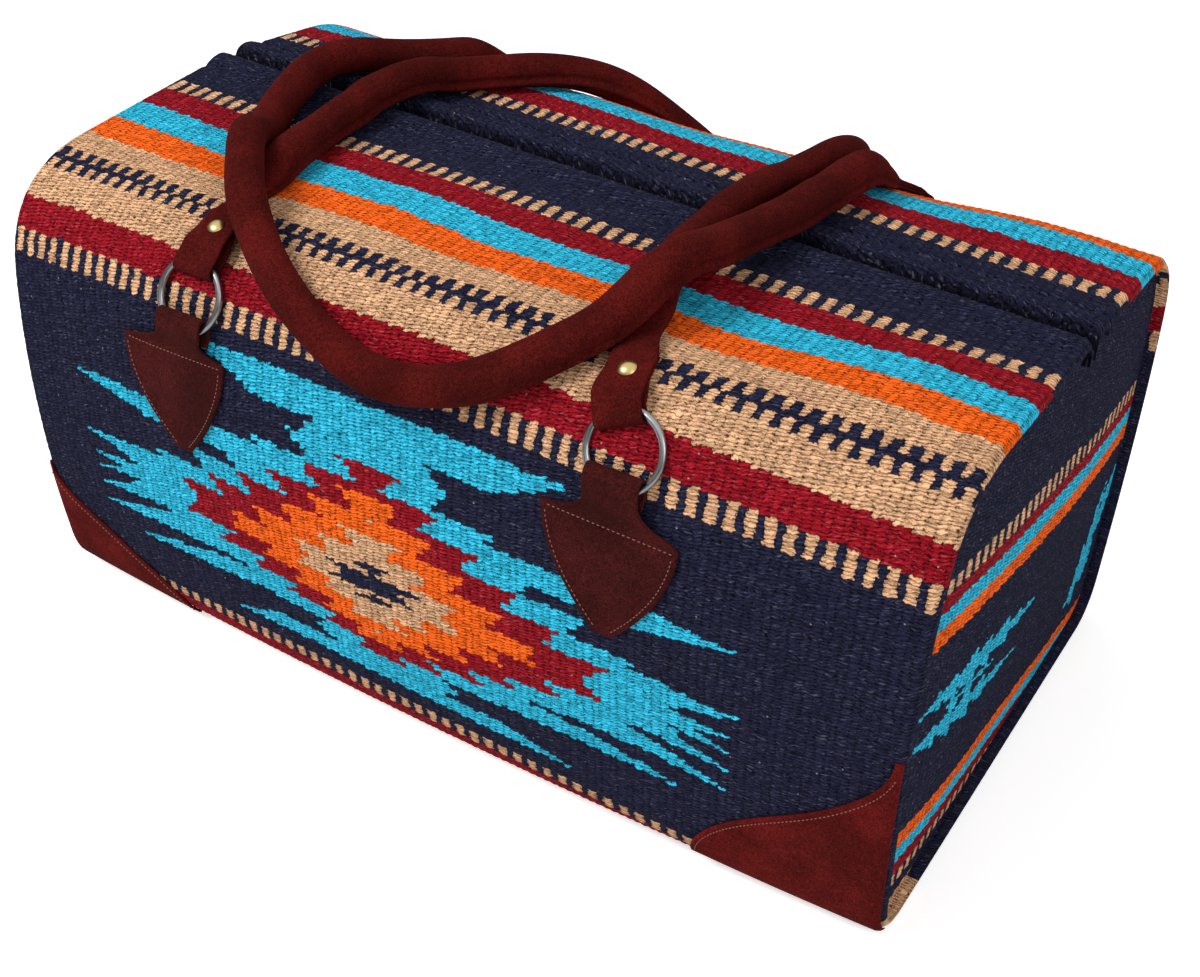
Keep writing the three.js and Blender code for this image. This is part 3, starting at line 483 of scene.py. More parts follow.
def rim_steps(count, narrow):
    """Shares 0..1 crowded at both ends, and the ease of a cut edge at each."""
    inner = np.linspace(4 * narrow, 1 - 4 * narrow, count)
    rim = [0, narrow * 0.3, narrow * 1.5]
    far_rim = [1 - narrow * 1.5, 1 - narrow * 0.3, 1]
    shares = np.concatenate([rim, inner, far_rim])
    return shares, rim_ease(len(shares))


def run_along(line):
    """Length along a line of points up to each of them."""
    steps = np.linalg.norm(np.diff(line, axis=0), axis=1)
    return np.concatenate([[0], np.cumsum(steps)])


def end_fans(rows, sides):
    """Triangles from a sweep's end rings to the two end points that follow the rings."""
    k = np.arange(sides)
    onward = (k + 1) % sides
    last_ring = (rows - 1) * sides
    first = np.stack([np.full(sides, rows * sides), onward, k], axis=1)
    last = np.stack([np.full(sides, rows * sides + 1), last_ring + k, last_ring + onward], axis=1)
    return np.concatenate([first, last])


def add_tube(name, points, across, lift, half, thick, power, sides, flange=None):
    """Closed sweep: point + across half c(a) + lift thick s(a), c and s rounded by a power."""
    turn = 2 * np.pi * (np.arange(sides) + 0.5) / sides
    bend = power[:, None]
    c = np.sign(np.cos(turn)) * np.abs(np.cos(turn)) ** bend
    s = np.sign(np.sin(turn)) * np.abs(np.sin(turn)) ** bend
    grow = 1 if flange is None else flange(turn)[None, :, None]
    side = across[:, None, :] * (half[:, None] * c)[..., None]
    rise = lift[:, None, :] * (thick[:, None] * s)[..., None]
    rings = points[:, None, :] + (side + rise) * grow
    rows = len(points)
    body = rings.reshape(-1, 3)
    body = np.concatenate([body, points[:1], points[-1:]])
    quads = grid_quads(rows, sides, round_columns=True)
    quads, triangles = outward(body, quads, end_fans(rows, sides))
    return add_piece(name, body, quads, triangles)


# Materials


def linear(colour):
    """Scene-linear value of a colour as seen."""
    c = np.asarray(colour[:3], float)
    value = np.where(c <= 0.04045, c / 12.92, ((c + 0.055) / 1.055) ** 2.4)
    return (*value.tolist(), 1.0)


class Shade:
    """A shader socket that takes part in plain arithmetic; other nodes come from node()."""

    def __init__(self, tree, socket=None):
        self.tree, self.socket = tree, socket

    def node(self, kind, settings, inputs, output=0):
        made = self.tree.nodes.new(kind)
        for key, value in settings.items():
            setattr(made, key, value)
        for key, value in inputs.items():
            if isinstance(value, Shade):
                self.tree.links.new(value.socket, made.inputs[key])
            else:
                made.inputs[key].default_value = value
        return Shade(self.tree, made.outputs[output])

    def math(self, operation, *others):
        inputs = dict(enumerate((self, *others)))
        return self.node("ShaderNodeMath", {"operation": operation}, inputs)

    def __add__(self, other):
        return self.math("ADD", other)

    def __radd__(self, other):
        return self.math("ADD", other)

    def __sub__(self, other):
        return self.math("SUBTRACT", other)

    def __rsub__(self, other):
        return (self * -1).math("ADD", other)

    def __mul__(self, other):
        return self.math("MULTIPLY", other)

    def __rmul__(self, other):
        return self.math("MULTIPLY", other)

    def __truediv__(self, other):
        return self.math("DIVIDE", other)

    def __lt__(self, other):
        return self.math("LESS_THAN", other)

    def __gt__(self, other):
        return self.math("GREATER_THAN", other)

    def floor(self):
        return self.math("FLOOR")

    def part(self):
        return self.math("FRACT")

    def size(self):
        return self.math("ABSOLUTE")

    def power(self, other):
        return self.math("POWER", other)

    def least(self, other):
        return self.math("MINIMUM", other)

    def most(self, other):
        return self.math("MAXIMUM", other)

    def ease(self, low, high):
        """Eased step of this value from low to high."""
        settings = {"interpolation_type": "SMOOTHSTEP"}
        inputs = {"Value": self, "From Min": low, "From Max": high}
        return self.node("ShaderNodeMapRange", settings, inputs)

    def pair(self, other, third=0.0):
        return self.node("ShaderNodeCombineXYZ", {}, {0: self, 1: other, 2: third})

    def split(self):
        made = self.node("ShaderNodeSeparateXYZ", {}, {0: self})
        return [Shade(self.tree, out) for out in made.socket.node.outputs]

    def noise(self, scale, detail=2.0, rough=0.5):
        settings = {"Vector": self, "Scale": scale, "Detail": detail, "Roughness": rough}
        return self.node("ShaderNodeTexNoise", {"noise_dimensions": "3D"}, settings)

    def chance(self):
        return self.node("ShaderNodeTexWhiteNoise", {"noise_dimensions": "2D"}, {"Vector": self})

    def tint(self, colour, other):
        """This value mixes from one colour to another."""
        settings = {"data_type": "RGBA", "blend_type": "MIX"}
        return self.node("ShaderNodeMix", settings, {0: self, 6: colour, 7: other}, 2)

    def times(self, value):
        """This colour scaled by a value."""
        settings = {"operation": "SCALE"}
        return self.node("ShaderNodeVectorMath", settings, {0: self, "Scale": value})

    def ramp(self, stops):
        """Colour bands: each stop is where a band starts and its colour."""
        made = self.node("ShaderNodeValToRGB", {}, {0: self})
        ramp = made.socket.node.color_ramp
        ramp.interpolation = "CONSTANT"
        while len(ramp.elements) < len(stops):
            ramp.elements.new(1.0)
        for element, (place, colour) in zip(ramp.elements, stops):
            element.position = place
            element.color = colour
        return made


def new_material(name, **constants):
    """A material with one principled surface; returns it, its node and an empty socket."""
    material = bpy.data.materials.new(name)
    material.use_nodes = True
    tree = material.node_tree
    surface = tree.nodes["Principled BSDF"]
    for key, value in constants.items():
        surface.inputs[key.replace("_", " ")].default_value = value
    return material, surface, Shade(tree)


def feed(surface, **sockets):
    for key, value in sockets.items():
        value.tree.links.new(value.socket, surface.inputs[key.replace("_", " ")])


def bump(height, strength, distance):
    settings = {"Strength": strength, "Distance": distance, "Height": height}
    return height.node("ShaderNodeBump", {}, settings)


class Weave:
    """Beads of the weave in the shader: columns of the warp pitch, with flat beads stacked in each.

    Odd columns are narrower and set half a bead lower. A bead is a dome,
    sqrt(1 - 0.45 x^2 - 0.9 y^2), and its fibres run along it at a slant of their own.
    """

    PULL, SLIP = 6 * MM, 4.5 * MM
    FRAY_ACROSS, FRAY_ALONG = 3.2 * MM, 2 * MM
    DRIFT, JITTER = 6 * MM, 6 * MM

    def __init__(self, start, cloth):
        place = start.node("ShaderNodeUVMap", {"uv_map": "cloth"}, {})
        self.u, self.v, _ = place.split()
        place = self.u.pair(self.v)
        pull = place.noise(170.0, 3.0, 0.6) - 0.5
        slip = (self.u + 3.0).pair(self.v).noise(190.0, 3.0, 0.6) - 0.5
        fray = (self.u + 7.0).pair(self.v).noise(620.0, 2.0, 0.6) - 0.5
        even = (self.u + pull * self.PULL + fray * self.FRAY_ACROSS) / cloth.warp
        across = even + (even * math.pi).math("COSINE") * 0.07
        self.column = across.floor()
        self.odd = (self.column * 0.5).part() * 2
        lean = (across - self.column - 0.5) * 0.5
        along = (self.v + slip * self.SLIP + fray * self.FRAY_ALONG) / cloth.bead
        along = along + self.odd * 0.5 + lean
        self.row = along.floor()
        x = (across - self.column) * 2 - 1
        y = (along - self.row) * 2 - 1
        self.height = (1 - x * x * 0.45 - y * y * 0.9).most(0.0).power(0.5)
        self.cell = self.column.pair(self.row)
        self.vary = self.cell.chance()
        self.u_cell = (self.column + 0.5) * cloth.warp
        self.v_cell = (self.row + 0.5 - self.odd * 0.5) * cloth.bead
        slant = self.v + (self.u - self.u_cell) * (self.vary * 0.9 - 0.1)
        self.fibre = (self.u * 190).pair(slant * 850, self.vary * 9).noise(1.0, 2.0, 0.6)
        drift = self.u_cell.pair(self.v_cell * 0.35).noise(14.0, 3.0) - 0.5
        self.v_drawn = self.v_cell + drift * self.DRIFT
        jitter = self.v_cell.pair(self.u_cell * 0.02).noise(160.0, 1.0) - 0.5
        self.u_drawn = self.u_cell + jitter * self.JITTER


def bands(cloth, colours, even):
    """Stripe colours by girth for even or odd columns, from the zip to the diamond's middle."""
    navy, tan, orange, red, blue = colours
    wide = cloth.zigzag_end - cloth.zigzag_start
    upper, lower = (navy, tan) if even else (tan, navy)
    turn = cloth.zigzag_start + (0.55 if even else 0.45) * wide
    dash = tan if even else navy
    stops = [
        (0, navy),
        (cloth.dash_start, dash),
        (cloth.red_start, red),
        (cloth.blue_start, blue),
        (cloth.orange_start, orange),
        (cloth.tan_start, tan),
        (cloth.zigzag_start, upper),
        (turn, lower),
        (cloth.zigzag_end, tan),
        (cloth.lower_red_start, red),
        (cloth.lower_dash_start, dash),
        (cloth.field_start, navy),
    ]
    return [(place / cloth.middle, colour) for place, colour in stops]


def yarn_colours(cloth):
    return [linear(c) for c in (cloth.navy, cloth.tan, cloth.orange, cloth.red, cloth.blue)]


def teeth(distance, pitch, start):
    """Saw teeth from -0.5 to 0.5, rising with the distance."""
    return (distance / pitch + start).part() - 0.5


def diamond(ground, weave, cloth, colours):
    """Nested serrated diamonds: half width = slope (reach - b) + tooth, b girth from the middle.

    The lower half is drawn closer together: b = d + 7 d^2.
    """
    navy, tan, orange, red, blue = colours
    a = (weave.u_drawn - cloth.diamond_x).size()
    d = weave.v_drawn - cloth.diamond_girth
    below = d.most(0.0)
    b = d.size() + below * below * 7

    def inside(slope, reach, pitch, spread, start):
        return a < ((reach - b) * slope + teeth(b, pitch, start) * spread)

    def arm(top, deep, reach, slant):
        fall = top - b
        return a < (reach - fall * slant) * (fall > 0.0) * (fall < deep)

    ring = inside(1.9, 106 * MM, 15 * MM, 42 * MM, 0.2) * (b < 95 * MM)
    arms = arm(22 * MM, 12 * MM, 236 * MM, 3.6).most(arm(6 * MM, 12 * MM, 230 * MM, 3.6))
    above = arm(66 * MM, 16 * MM, 236 * MM, 4.0) * (d < 0.0)
    under = arm(43 * MM, 17 * MM, 238 * MM, 3.6).most(arm(68 * MM, 20 * MM, 206 * MM, 4.0))
    under = under * (d > 0.0)
    arms = arms.most(above).most(under)
    bar = arm(120 * MM, 22 * MM, 130 * MM, 2.2).most(arm(100 * MM, 20 * MM, 36 * MM, -1.0))
    shown = ring.most(arms).most(bar).tint(ground, blue)
    shown = inside(1.95, 82 * MM, 13.5 * MM, 40 * MM, 0.0).tint(shown, red)
    shown = inside(1.7, 64 * MM, 13.5 * MM, 34 * MM, 0.45).tint(shown, orange)
    shown = inside(1.6, 39 * MM, 12 * MM, 30 * MM, 0.1).tint(shown, tan)
    return inside(2.2, 13 * MM, 8 * MM, 36 * MM, 0.25).tint(shown, navy)


def finish_yarn(surface, weave, colour, cloth):
    """Yarn over a colour: beads vary, fibres on the bead crowns get a painted highlight, hollows get
    painted shade, lint lies on top.
    """
    fuzz = weave.u.pair(weave.v).noise(1300.0, 3.0, 0.7).ease(0.28, 0.72)
    strand = weave.fibre.ease(0.3, 0.7)
    level = 0.18 + weave.vary * 0.42 + strand * 0.7 + fuzz * 0.6
    # painted shade: the colour darkens toward each bead's rim, standing in for shade between the
    # beads
    painted_bead_shade = weave.height * 1.15 + 0.08
    shown = colour.times(level * painted_bead_shade)
    # painted highlight: the lint colour is mixed onto bright fibres on the bead crowns
    shown = (weave.fibre.ease(0.56, 0.82) * weave.height * 0.25).tint(shown, linear(cloth.lint))
    speck_u, speck_v = weave.u * 700, weave.v * 700
    speck = speck_u.floor().pair(speck_v.floor()).chance()
    side, rise = speck_u.part() - 0.5, speck_v.part() - 0.5
    lint = (speck > 0.9988) * ((side * side + rise * rise) < 0.12)
    shown = (lint * 0.5).tint(shown, linear(cloth.lint))
    height = weave.height + strand * 0.5 + fuzz * 0.35 + weave.vary * 0.8
    feed(surface, Base_Color=shown, Normal=bump(height, 0.9, 1.1 * MM))


def wrap_material(name, cloth):
    material, surface, start = new_material(name, Roughness=0.96)
    surface.inputs["Specular IOR Level"].default_value = 0.06
    weave = Weave(start, cloth)
    colours = yarn_colours(cloth)
    folded = cloth.middle - (weave.v_drawn - cloth.middle).size()
    share = folded.most(0.0) / cloth.middle
    columns = [share.ramp(bands(cloth, colours, even)) for even in (True, False)]
    striped = weave.odd.tint(*columns)
    shown = diamond(striped, weave, cloth, colours)
    # painted shade: the cloth darkens within 10 mm of the zip slot, standing in for the shade between
    # the hems
    finish_yarn(surface, weave, shown.times(weave.v.ease(3 * MM, 10 * MM) * 0.8 + 0.2), cloth)
    return material


def panel_bands(colours, even):
    """Stripes of an end cloth by share of 300 mm up the panel, measured along the slope."""
    navy, tan, orange, red, blue = colours
    dash = tan if even else navy
    stops = [
        (0, tan),
        (16, navy),
        (27, dash),
        (37, red),
        (47, blue),
        (59, orange),
        (71, navy),
        (195, orange),
        (207, blue),
        (218, red),
        (228, dash),
        (239, navy),
    ]
    return [(place / 300, colour) for place, colour in stops]


def panel_material(name, cloth):
    """End cloth: stripes that fall towards the back, with blue slivers between them."""
    material, surface, start = new_material(name, Roughness=0.96)
    surface.inputs["Specular IOR Level"].default_value = 0.06
    weave = Weave(start, cloth)
    colours = yarn_colours(cloth)
    blue = colours[4]
    raised = weave.v_drawn
    share = (raised / (300 * MM)).most(0.0)
    columns = [share.ramp(panel_bands(colours, even)) for even in (True, False)]
    shown = weave.odd.tint(*columns)
    p = weave.u_drawn

    def sliver(level, fall, begin, end, half):
        rise = (raised - level + p * fall).size()
        grow = ((p - begin) / (60 * MM)).least((end - p) / (90 * MM)).least(1.0)
        ragged = teeth(p, 23 * MM, 0.0) * 0.9 + 0.85
        return rise < (grow * ragged * half)

    slivers = sliver(155 * MM, 0.03, 15 * MM, 195 * MM, 10 * MM)
    slivers = slivers.most(sliver(132 * MM, 0.06, 5 * MM, 165 * MM, 10 * MM))
    slivers = slivers.most(sliver(144 * MM, 0.05, 55 * MM, 130 * MM, 9 * MM))
    slivers = slivers.most(sliver(-231 * MM, -1.15, 278 * MM, 356 * MM, 70 * MM))
    finish_yarn(surface, weave, slivers.tint(shown, blue), cloth)
    return material


def suede_material(name, colour):
    """Suede: nap in soft patches and fine grain, a matt brushed surface."""
    material, surface, start = new_material(name, Roughness=1.0)
    surface.inputs["Sheen Weight"].default_value = 0.04
    surface.inputs["Sheen Roughness"].default_value = 0.4
    surface.inputs["Specular IOR Level"].default_value = 0.03
    surface.inputs["Sheen Tint"].default_value = linear((0.62, 0.3, 0.26))
    place = start.node("ShaderNodeTexCoord", {}, {}, 3)
    patches = place.noise(24.0, 5.0, 0.6)
    nap = place.noise(380.0, 4.0, 0.75)
    pores = place.noise(1300.0, 2.0, 0.7)
    worn = (patches.ease(0.3, 0.75) * 0.6 + nap.ease(0.3, 0.7) * 0.4).ease(0.1, 0.95)
    dark, pale = np.asarray(colour) * 0.84, np.asarray(colour) * 1.24
    shown = worn.tint(linear(dark), linear(pale)).times(0.4 + pores.ease(0.25, 0.75) * 1.2)
    feed(surface, Base_Color=shown, Normal=bump(nap + pores * 0.8, 0.5, 0.6 * MM))
    return material


def metal_material(name, colour, roughness):
    material, surface, start = new_material(name, Metallic=1.0, Roughness=roughness)
    place = start.node("ShaderNodeTexCoord", {}, {}, 3)
    wear = place.noise(260.0, 3.0)
    surface.inputs["Base Color"].default_value = linear(colour)
    feed(surface, Roughness=wear * 0.18 + (roughness - 0.09))
    return material


def plain_material(name, colour, roughness):
    material, surface, start = new_material(name, Roughness=roughness)
    place = start.node("ShaderNodeTexCoord", {}, {}, 3)
    ribs = place.noise(900.0, 2.0)
    dark, pale = np.asarray(colour) * 0.8, np.minimum(np.asarray(colour) * 1.2, 1)
    shown = ribs.tint(linear(dark), linear(pale))
    feed(surface, Base_Color=shown)
    return material


def material_for(make, name, *values):
    """The material of that name, made once."""
    return bpy.data.materials.get(name) or make(name, *values)


def dress(piece, material, slot, body, *nodes):
    piece.data.materials.append(material)
    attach(piece, body)
    if nodes:
        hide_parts(*nodes)
    return piece


def settings():
    scene = bpy.context.scene
    return scene.duffel_form, scene.duffel_cloth, scene.duffel_suede, scene.duffel_stage


# Cloth


def lip_columns(bag, form, cloth):
    """x, drop below the bag's surface and woven length of each column, rolled in at both ends."""
    flat = bag.half - form.lip
    step = cloth.warp / 2
    count = int(flat / step)
    x = np.arange(-count, count + 1) * step
    turn = np.radians([8, 24, 40, 56, 72, 90])
    roll_x = flat + form.lip * np.sin(turn)
    roll_drop = form.lip * (1 - np.cos(turn))
    roll_u = flat + form.lip * turn
    x_end = np.concatenate([roll_x, [bag.half - 2 * MM, bag.half - 9 * MM]])
    drop_end = np.concatenate([roll_drop, [form.lip + 0.6 * MM, form.lip + 1.2 * MM]])
    u_end = np.concatenate([roll_u, roll_u[-1] + np.array([3, 10]) * MM])
    xs = np.concatenate([-x_end[::-1], x, x_end])
    drops = np.concatenate([drop_end[::-1], 0 * x, drop_end])
    us = np.concatenate([-u_end[::-1], x, u_end])
    return xs, drops, us


def hem_offset(form, girth, side):
    """Rise of the folded hem and its sewn crease over the bag's surface."""
    from_edge = np.abs(girth) - form.slot / 2
    edge = np.maximum(0, 1 - from_edge / form.hem_edge)
    puff = form.hem_puff * np.sin(np.pi * np.clip(from_edge / form.hem, 0, 1)) ** 0.7
    crease = form.crease_front if side > 0 else form.crease_back
    sewn = crease * np.exp(-(((from_edge - form.hem - 2 * MM) / (2.2 * MM)) ** 2))
    return puff - sewn - form.hem_edge * edge * edge


BEAD_SEED = 5


def bead_relief(cloth, x):
    """Weave relief: 0 between columns, up to 1 on the crowns, each bead of its own height."""
    across = x / cloth.warp
    crown = np.sin(np.pi * (across - np.floor(across))) ** 2
    return crown * (0.45 + 0.55 * np.random.default_rng(BEAD_SEED).random(x.shape))


def base_girth(cloth, girth):
    """Girth as the stripes count it: they crowd together round the base edge."""
    return girth + cloth.edge_crowd * smooth(girth, cloth.edge_start, cloth.edge_end)


def lip_girth(cloth, girth, front):
    """Girth drawn on the lips low down: to and fro in the tan band at the front, navy elsewhere."""
    below = girth - cloth.low_lip
    margin, run = 3 * MM, 14 * MM
    if front:
        return cloth.tan_start + margin + np.abs(below % (2 * run) - run)
    return cloth.field_start + 10 * MM + below


def weave_sheet(name, bag, form, cloth, girth, side):
    """One sheet of the wrap: bag(x, g) + n (hem(g) + relief bead(u, g) - lip drop)."""
    xs, drops, us = lip_columns(bag, form, cloth)
    u, g = np.meshgrid(us, girth)
    point, normal = bag.look(np.broadcast_to(xs, g.shape), g)
    up = np.array([0, 0, 1.0])
    upright = smooth(np.abs(g) - form.slot / 2, 0, form.hem)[..., None]
    normal = unit(mix(up, normal, upright))
    off = cloth.relief * (bead_relief(cloth, u) - 0.5) - drops
    off = off + hem_offset(form, g, side)
    points = point + normal * off[..., None]
    tuck = points[:1] - up * np.array([2.5 * MM, 5 * MM])[:, None, None]
    away = np.array([0, -side * 0.6 * MM, 0]) * np.array([0.3, 1.0])[:, None, None]
    points = np.concatenate([(tuck + away)[::-1], points])
    g = np.concatenate([g[:1], g[:1], g])
    u = np.concatenate([u[:1], u[:1], u])
    drawn = np.abs(g)
    shift = cloth.back_take * smooth(drawn, 10 * MM, 45 * MM) if side < 0 else 0
    drawn = base_girth(cloth, drawn) + shift
    low_lip = (np.abs(u) > bag.half - form.lip) & (drawn > cloth.low_lip)
    drawn = np.where(low_lip, lip_girth(cloth, drawn, side > 0), drawn)
    uv = np.stack([u, drawn], axis=-1).reshape(-1, 2)
    quads = grid_quads(*g.shape)
    if side < 0:
        quads = quads[:, ::-1]
    return add_piece(name, points.reshape(-1, 3), quads, uv=uv)


class DUFFEL_OT_wrap(Operator):
    """Weaves the wrap: front, back and base sheets with hems and rolled ends"""

    bl_idname = "duffel.wrap"
    bl_label = "Woven wrap"

    def execute(self, context):
        form, cloth, _, _ = settings()
        bag = BagForm(form)
        material = material_for(wrap_material, "wrap_yarn", cloth)
        rows = np.arange(form.slot / 2, 500 * MM, 1.8 * MM)
        for name, side in SIDES.items():
            piece = weave_sheet(f"cloth_{name}", bag, form, cloth, side * rows, side)
            dress(piece, material, "woven_cloth", "bag", "woven_wrap")
        piece = self.base_sheet(bag, form, cloth, rows[-1])
        dress(piece, material, "woven_cloth", "bag", "woven_wrap")
        return {"FINISHED"}

    def base_sheet(self, bag, form, cloth, reach):
        """Base: bag(x, g) with g from the front sheet's edge to the back sheet's edge."""
        xs, drops, us = lip_columns(bag, form, cloth)
        total = np.interp(xs, bag.x, bag.total)
        share = np.linspace(0, 1, 91)[:, None]
        g = mix(reach, total[None, :] - reach, share)
        x = np.broadcast_to(xs, g.shape)
        u = np.broadcast_to(us, g.shape)
        signed = np.where(g > total / 2, g - total, g)
        point, normal = bag.look(x, signed)
        drawn = base_girth(cloth, np.minimum(g, total - g))
        at_lip = np.abs(u) > bag.half - 3 * form.lip
        drawn = np.where(at_lip, lip_girth(cloth, drawn, False), drawn)
        off = cloth.relief * (bead_relief(cloth, u) - 0.5) - drops
        points = point + normal * off[..., None]
        uv = np.stack([u, drawn], axis=-1).reshape(-1, 2)
        return add_piece("cloth_base", points.reshape(-1, 3), grid_quads(*g.shape), uv=uv)


class DUFFEL_OT_panels(Operator):
    """Lets the end cloths in behind the wrap's rolled ends"""

    bl_idname = "duffel.panels"
    bl_label = "End cloths"

    def execute(self, context):
        form, cloth, _, _ = settings()
        bag = BagForm(form)
        material = material_for(panel_material, "panel_yarn", cloth)
        for name, end in ENDS.items():
            piece = self.panel(f"end_cloth_{name}", bag, form, end)
            dress(piece, material, "woven_cloth", "bag", f"{name}_end_panel")
        return {"FINISHED"}

    def panel(self, name, bag, form, end):
        """End cloth: rim points drawn to the middle, swelling by b s (2 - s) along x."""
        x = end * (bag.half - form.panel_inset)
        total = np.interp(x, bag.x, bag.total)
        around = np.linspace(0, total, 361)[:-1]
        signed = np.where(around > total / 2, around - total, around)
        rim = bag.at(np.full_like(around, x), signed, -(form.lip + form.panel_slack))
        low, high = rim.min(axis=0), rim.max(axis=0)
        middle = (low + high) / 2
        share = np.concatenate([np.linspace(0, 0.12, 8), np.linspace(0.15, 0.97, 26)])
        share = share[:, None, None]
        rings = mix(rim[None], middle, share)
        rings[..., 0] += end * form.panel_swell * (share * (2 - share))[..., 0]
        tip = middle + np.array([end * form.panel_swell, 0, 0])
        points = np.concatenate([rings.reshape(-1, 3), tip[None]])
        rows, columns = rings.shape[:2]
        quads = grid_quads(rows, columns, round_columns=True)
        k = np.arange(columns)
        inner = (rows - 1) * columns
        middle_point = np.full(columns, len(points) - 1)
        fan = np.stack([inner + k, inner + (k + 1) % columns, middle_point], axis=1)
        if end > 0:
            quads, fan = quads[:, ::-1], fan[:, ::-1]
        deep = points[:, 1] - low[1]
        uv = np.stack([deep, points[:, 2] + deep * math.tan(form.panel_slope)], axis=1)
        return add_piece(name, points, quads, fan, uv)


# Suede


class Fitting:
    """Where the rings, tabs and strap ends lie."""

    def __init__(self, bag, suede):
        self.bag, self.suede = bag, suede
        self.mean = (suede.ring_inner + suede.ring_wire) / 2
        self.bow = self.bow_over(suede.neck)
        self.bore = self.bow / 2 + self.wire_over(suede.neck) + suede.play
        self.wall = self.wire_over(suede.strap) + suede.play

    def bow_over(self, width):
        return self.mean - math.sqrt(self.mean**2 - (width / 2) ** 2)

    def wire_over(self, width):
        return self.suede.ring_wire / 2 * self.mean / (self.mean - self.bow_over(width))

    def ring_x(self, end):
        return self.suede.ring_left if end < 0 else self.suede.ring_right

    def centre(self, end, side):
        side_name = "front" if side > 0 else "back"
        end_name = "left" if end < 0 else "right"
        low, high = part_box(f"{side_name}_ring_{end_name}")
        return np.array((low + high) / 2)

    def along(self, side):
        """Level line through both eyes of a handle."""
        return unit(self.centre(1, side) - self.centre(-1, side))

    def away(self, side):
        """Level direction out from the bag, square to the line through the eyes."""
        return side * np.cross(self.along(side), [0, 0, 1.0])

    def up(self, side):
        tilt = self.suede.tilt_front if side > 0 else self.suede.tilt_back
        return np.array([0, 0, math.cos(tilt)]) - self.away(side) * math.sin(tilt)

    def out(self, side):
        return side * np.cross(self.along(side), self.up(side))

    def axis(self, end, side):
        return self.centre(end, side) - self.up(side) * (self.mean - self.bow / 2)

    def strap_way(self, end, side):
        """Direction from a ring's middle to its strap, and the one across the strap."""
        turn = self.suede.foot_turn if end > 0 and side > 0 else 0
        up, along = self.up(side), self.along(side)
        c, s = math.cos(turn), math.sin(turn)
        return up * c + along * s, along * c - up * s

    def strap_start(self, end, side):
        way, _ = self.strap_way(end, side)
        return self.centre(end, side) + way * (self.mean + self.wall + self.suede.hide)

    def horns(self, end, side):
        """Girth of a tab's horns and the x of its middle."""
        suede, x = self.suede, self.ring_x(end)
        height = suede.eye_front if side > 0 else suede.eye_back
        shift = suede.tab_left if end < 0 else suede.tab_right
        drop = suede.tab_drop_left if end < 0 and side > 0 else suede.tab_drop
        girth = self.bag.girth_at_height(x, height - drop, side)
        return girth, x + shift if side > 0 else x


def fitted():
    """The bag's form, the suede's sizes and the places of the fittings."""
    form, _, suede, _ = settings()
    bag = BagForm(form)
    return bag, suede, Fitting(bag, suede)


def corners():
    """Name and sign of each side and end, front first and left first."""
    for side_name, side in SIDES.items():
        for end_name, end in ENDS.items():
            yield side_name, side, end_name, end


def tab_half(suede, down):
    """Half width of the shield at a share of its height below the horns."""
    return mix(suede.tab_width, suede.tab_tip, down**1.9) / 2


def patch_run(suede, up):
    """Run of a patch at a share of its rise: W (1 + cos(pi up)) / 2 over a narrow tip."""
    return mix(suede.patch_tip, suede.patch_run, (1 + np.cos(np.pi * up)) / 2)


def patch_corner(bag, suede, side, end):
    """x of a patch's seam, the girth of its foot and its rise."""
    rise = suede.patch_back
    if side > 0:
        rise = suede.patch_left if end < 0 else suede.patch_right
    seam = end * (bag.half - suede.patch_gap)
    return seam, bag.girth_at_height(seam, suede.patch_foot, side), rise


def sheet_on_bag(bag, girth, start, end, shares, off):
    """Grid of points and normals on the cloth: each row of girth runs from one x to another."""
    x = mix(start[:, None], end[:, None], shares[None, :])
    point, normal = bag.look(x, np.broadcast_to(girth[:, None], x.shape))
    return point + normal * off, normal


class DUFFEL_OT_patches(Operator):
    """Sews the corner patches round the base corners"""

    bl_idname = "duffel.patches"
    bl_label = "Corner patches"

    def execute(self, context):
        bag, suede, _ = fitted()
        material = material_for(suede_material, "patch_suede", suede.patch_colour)
        for side_name, side, end_name, end in corners():
            name = f"{side_name}_{end_name}"
            piece = self.patch(f"patch_{name}", bag, suede, side, end)
            dress(piece, material, "suede", "bag", f"corner_patch_{name}")
        return {"FINISHED"}

    def patch(self, name, bag, suede, side, end):
        """Patch: rows from the seam to the run at each rise, on the cloth and round its lip."""
        seam, foot, rise = patch_corner(bag, suede, side, end)
        up, ease_rows = rim_steps(44, 0.006)
        across, ease_columns = rim_steps(24, 0.008)
        far = seam - end * patch_run(suede, up)
        near = np.full_like(up, seam)
        off = suede.seat + suede.patch_hide / 2
        middle, normal = sheet_on_bag(bag, foot - side * rise * up, near, far, across, off)
        lip = bag.form.lip
        past = np.clip(np.abs(mix(seam, far[:, None], across)) - bag.half + lip, 0, None)
        middle = middle - normal * (lip - np.sqrt(lip**2 - past**2))[..., None]
        return add_slab(name, middle, normal, suede.patch_hide, ease_rows, ease_columns)


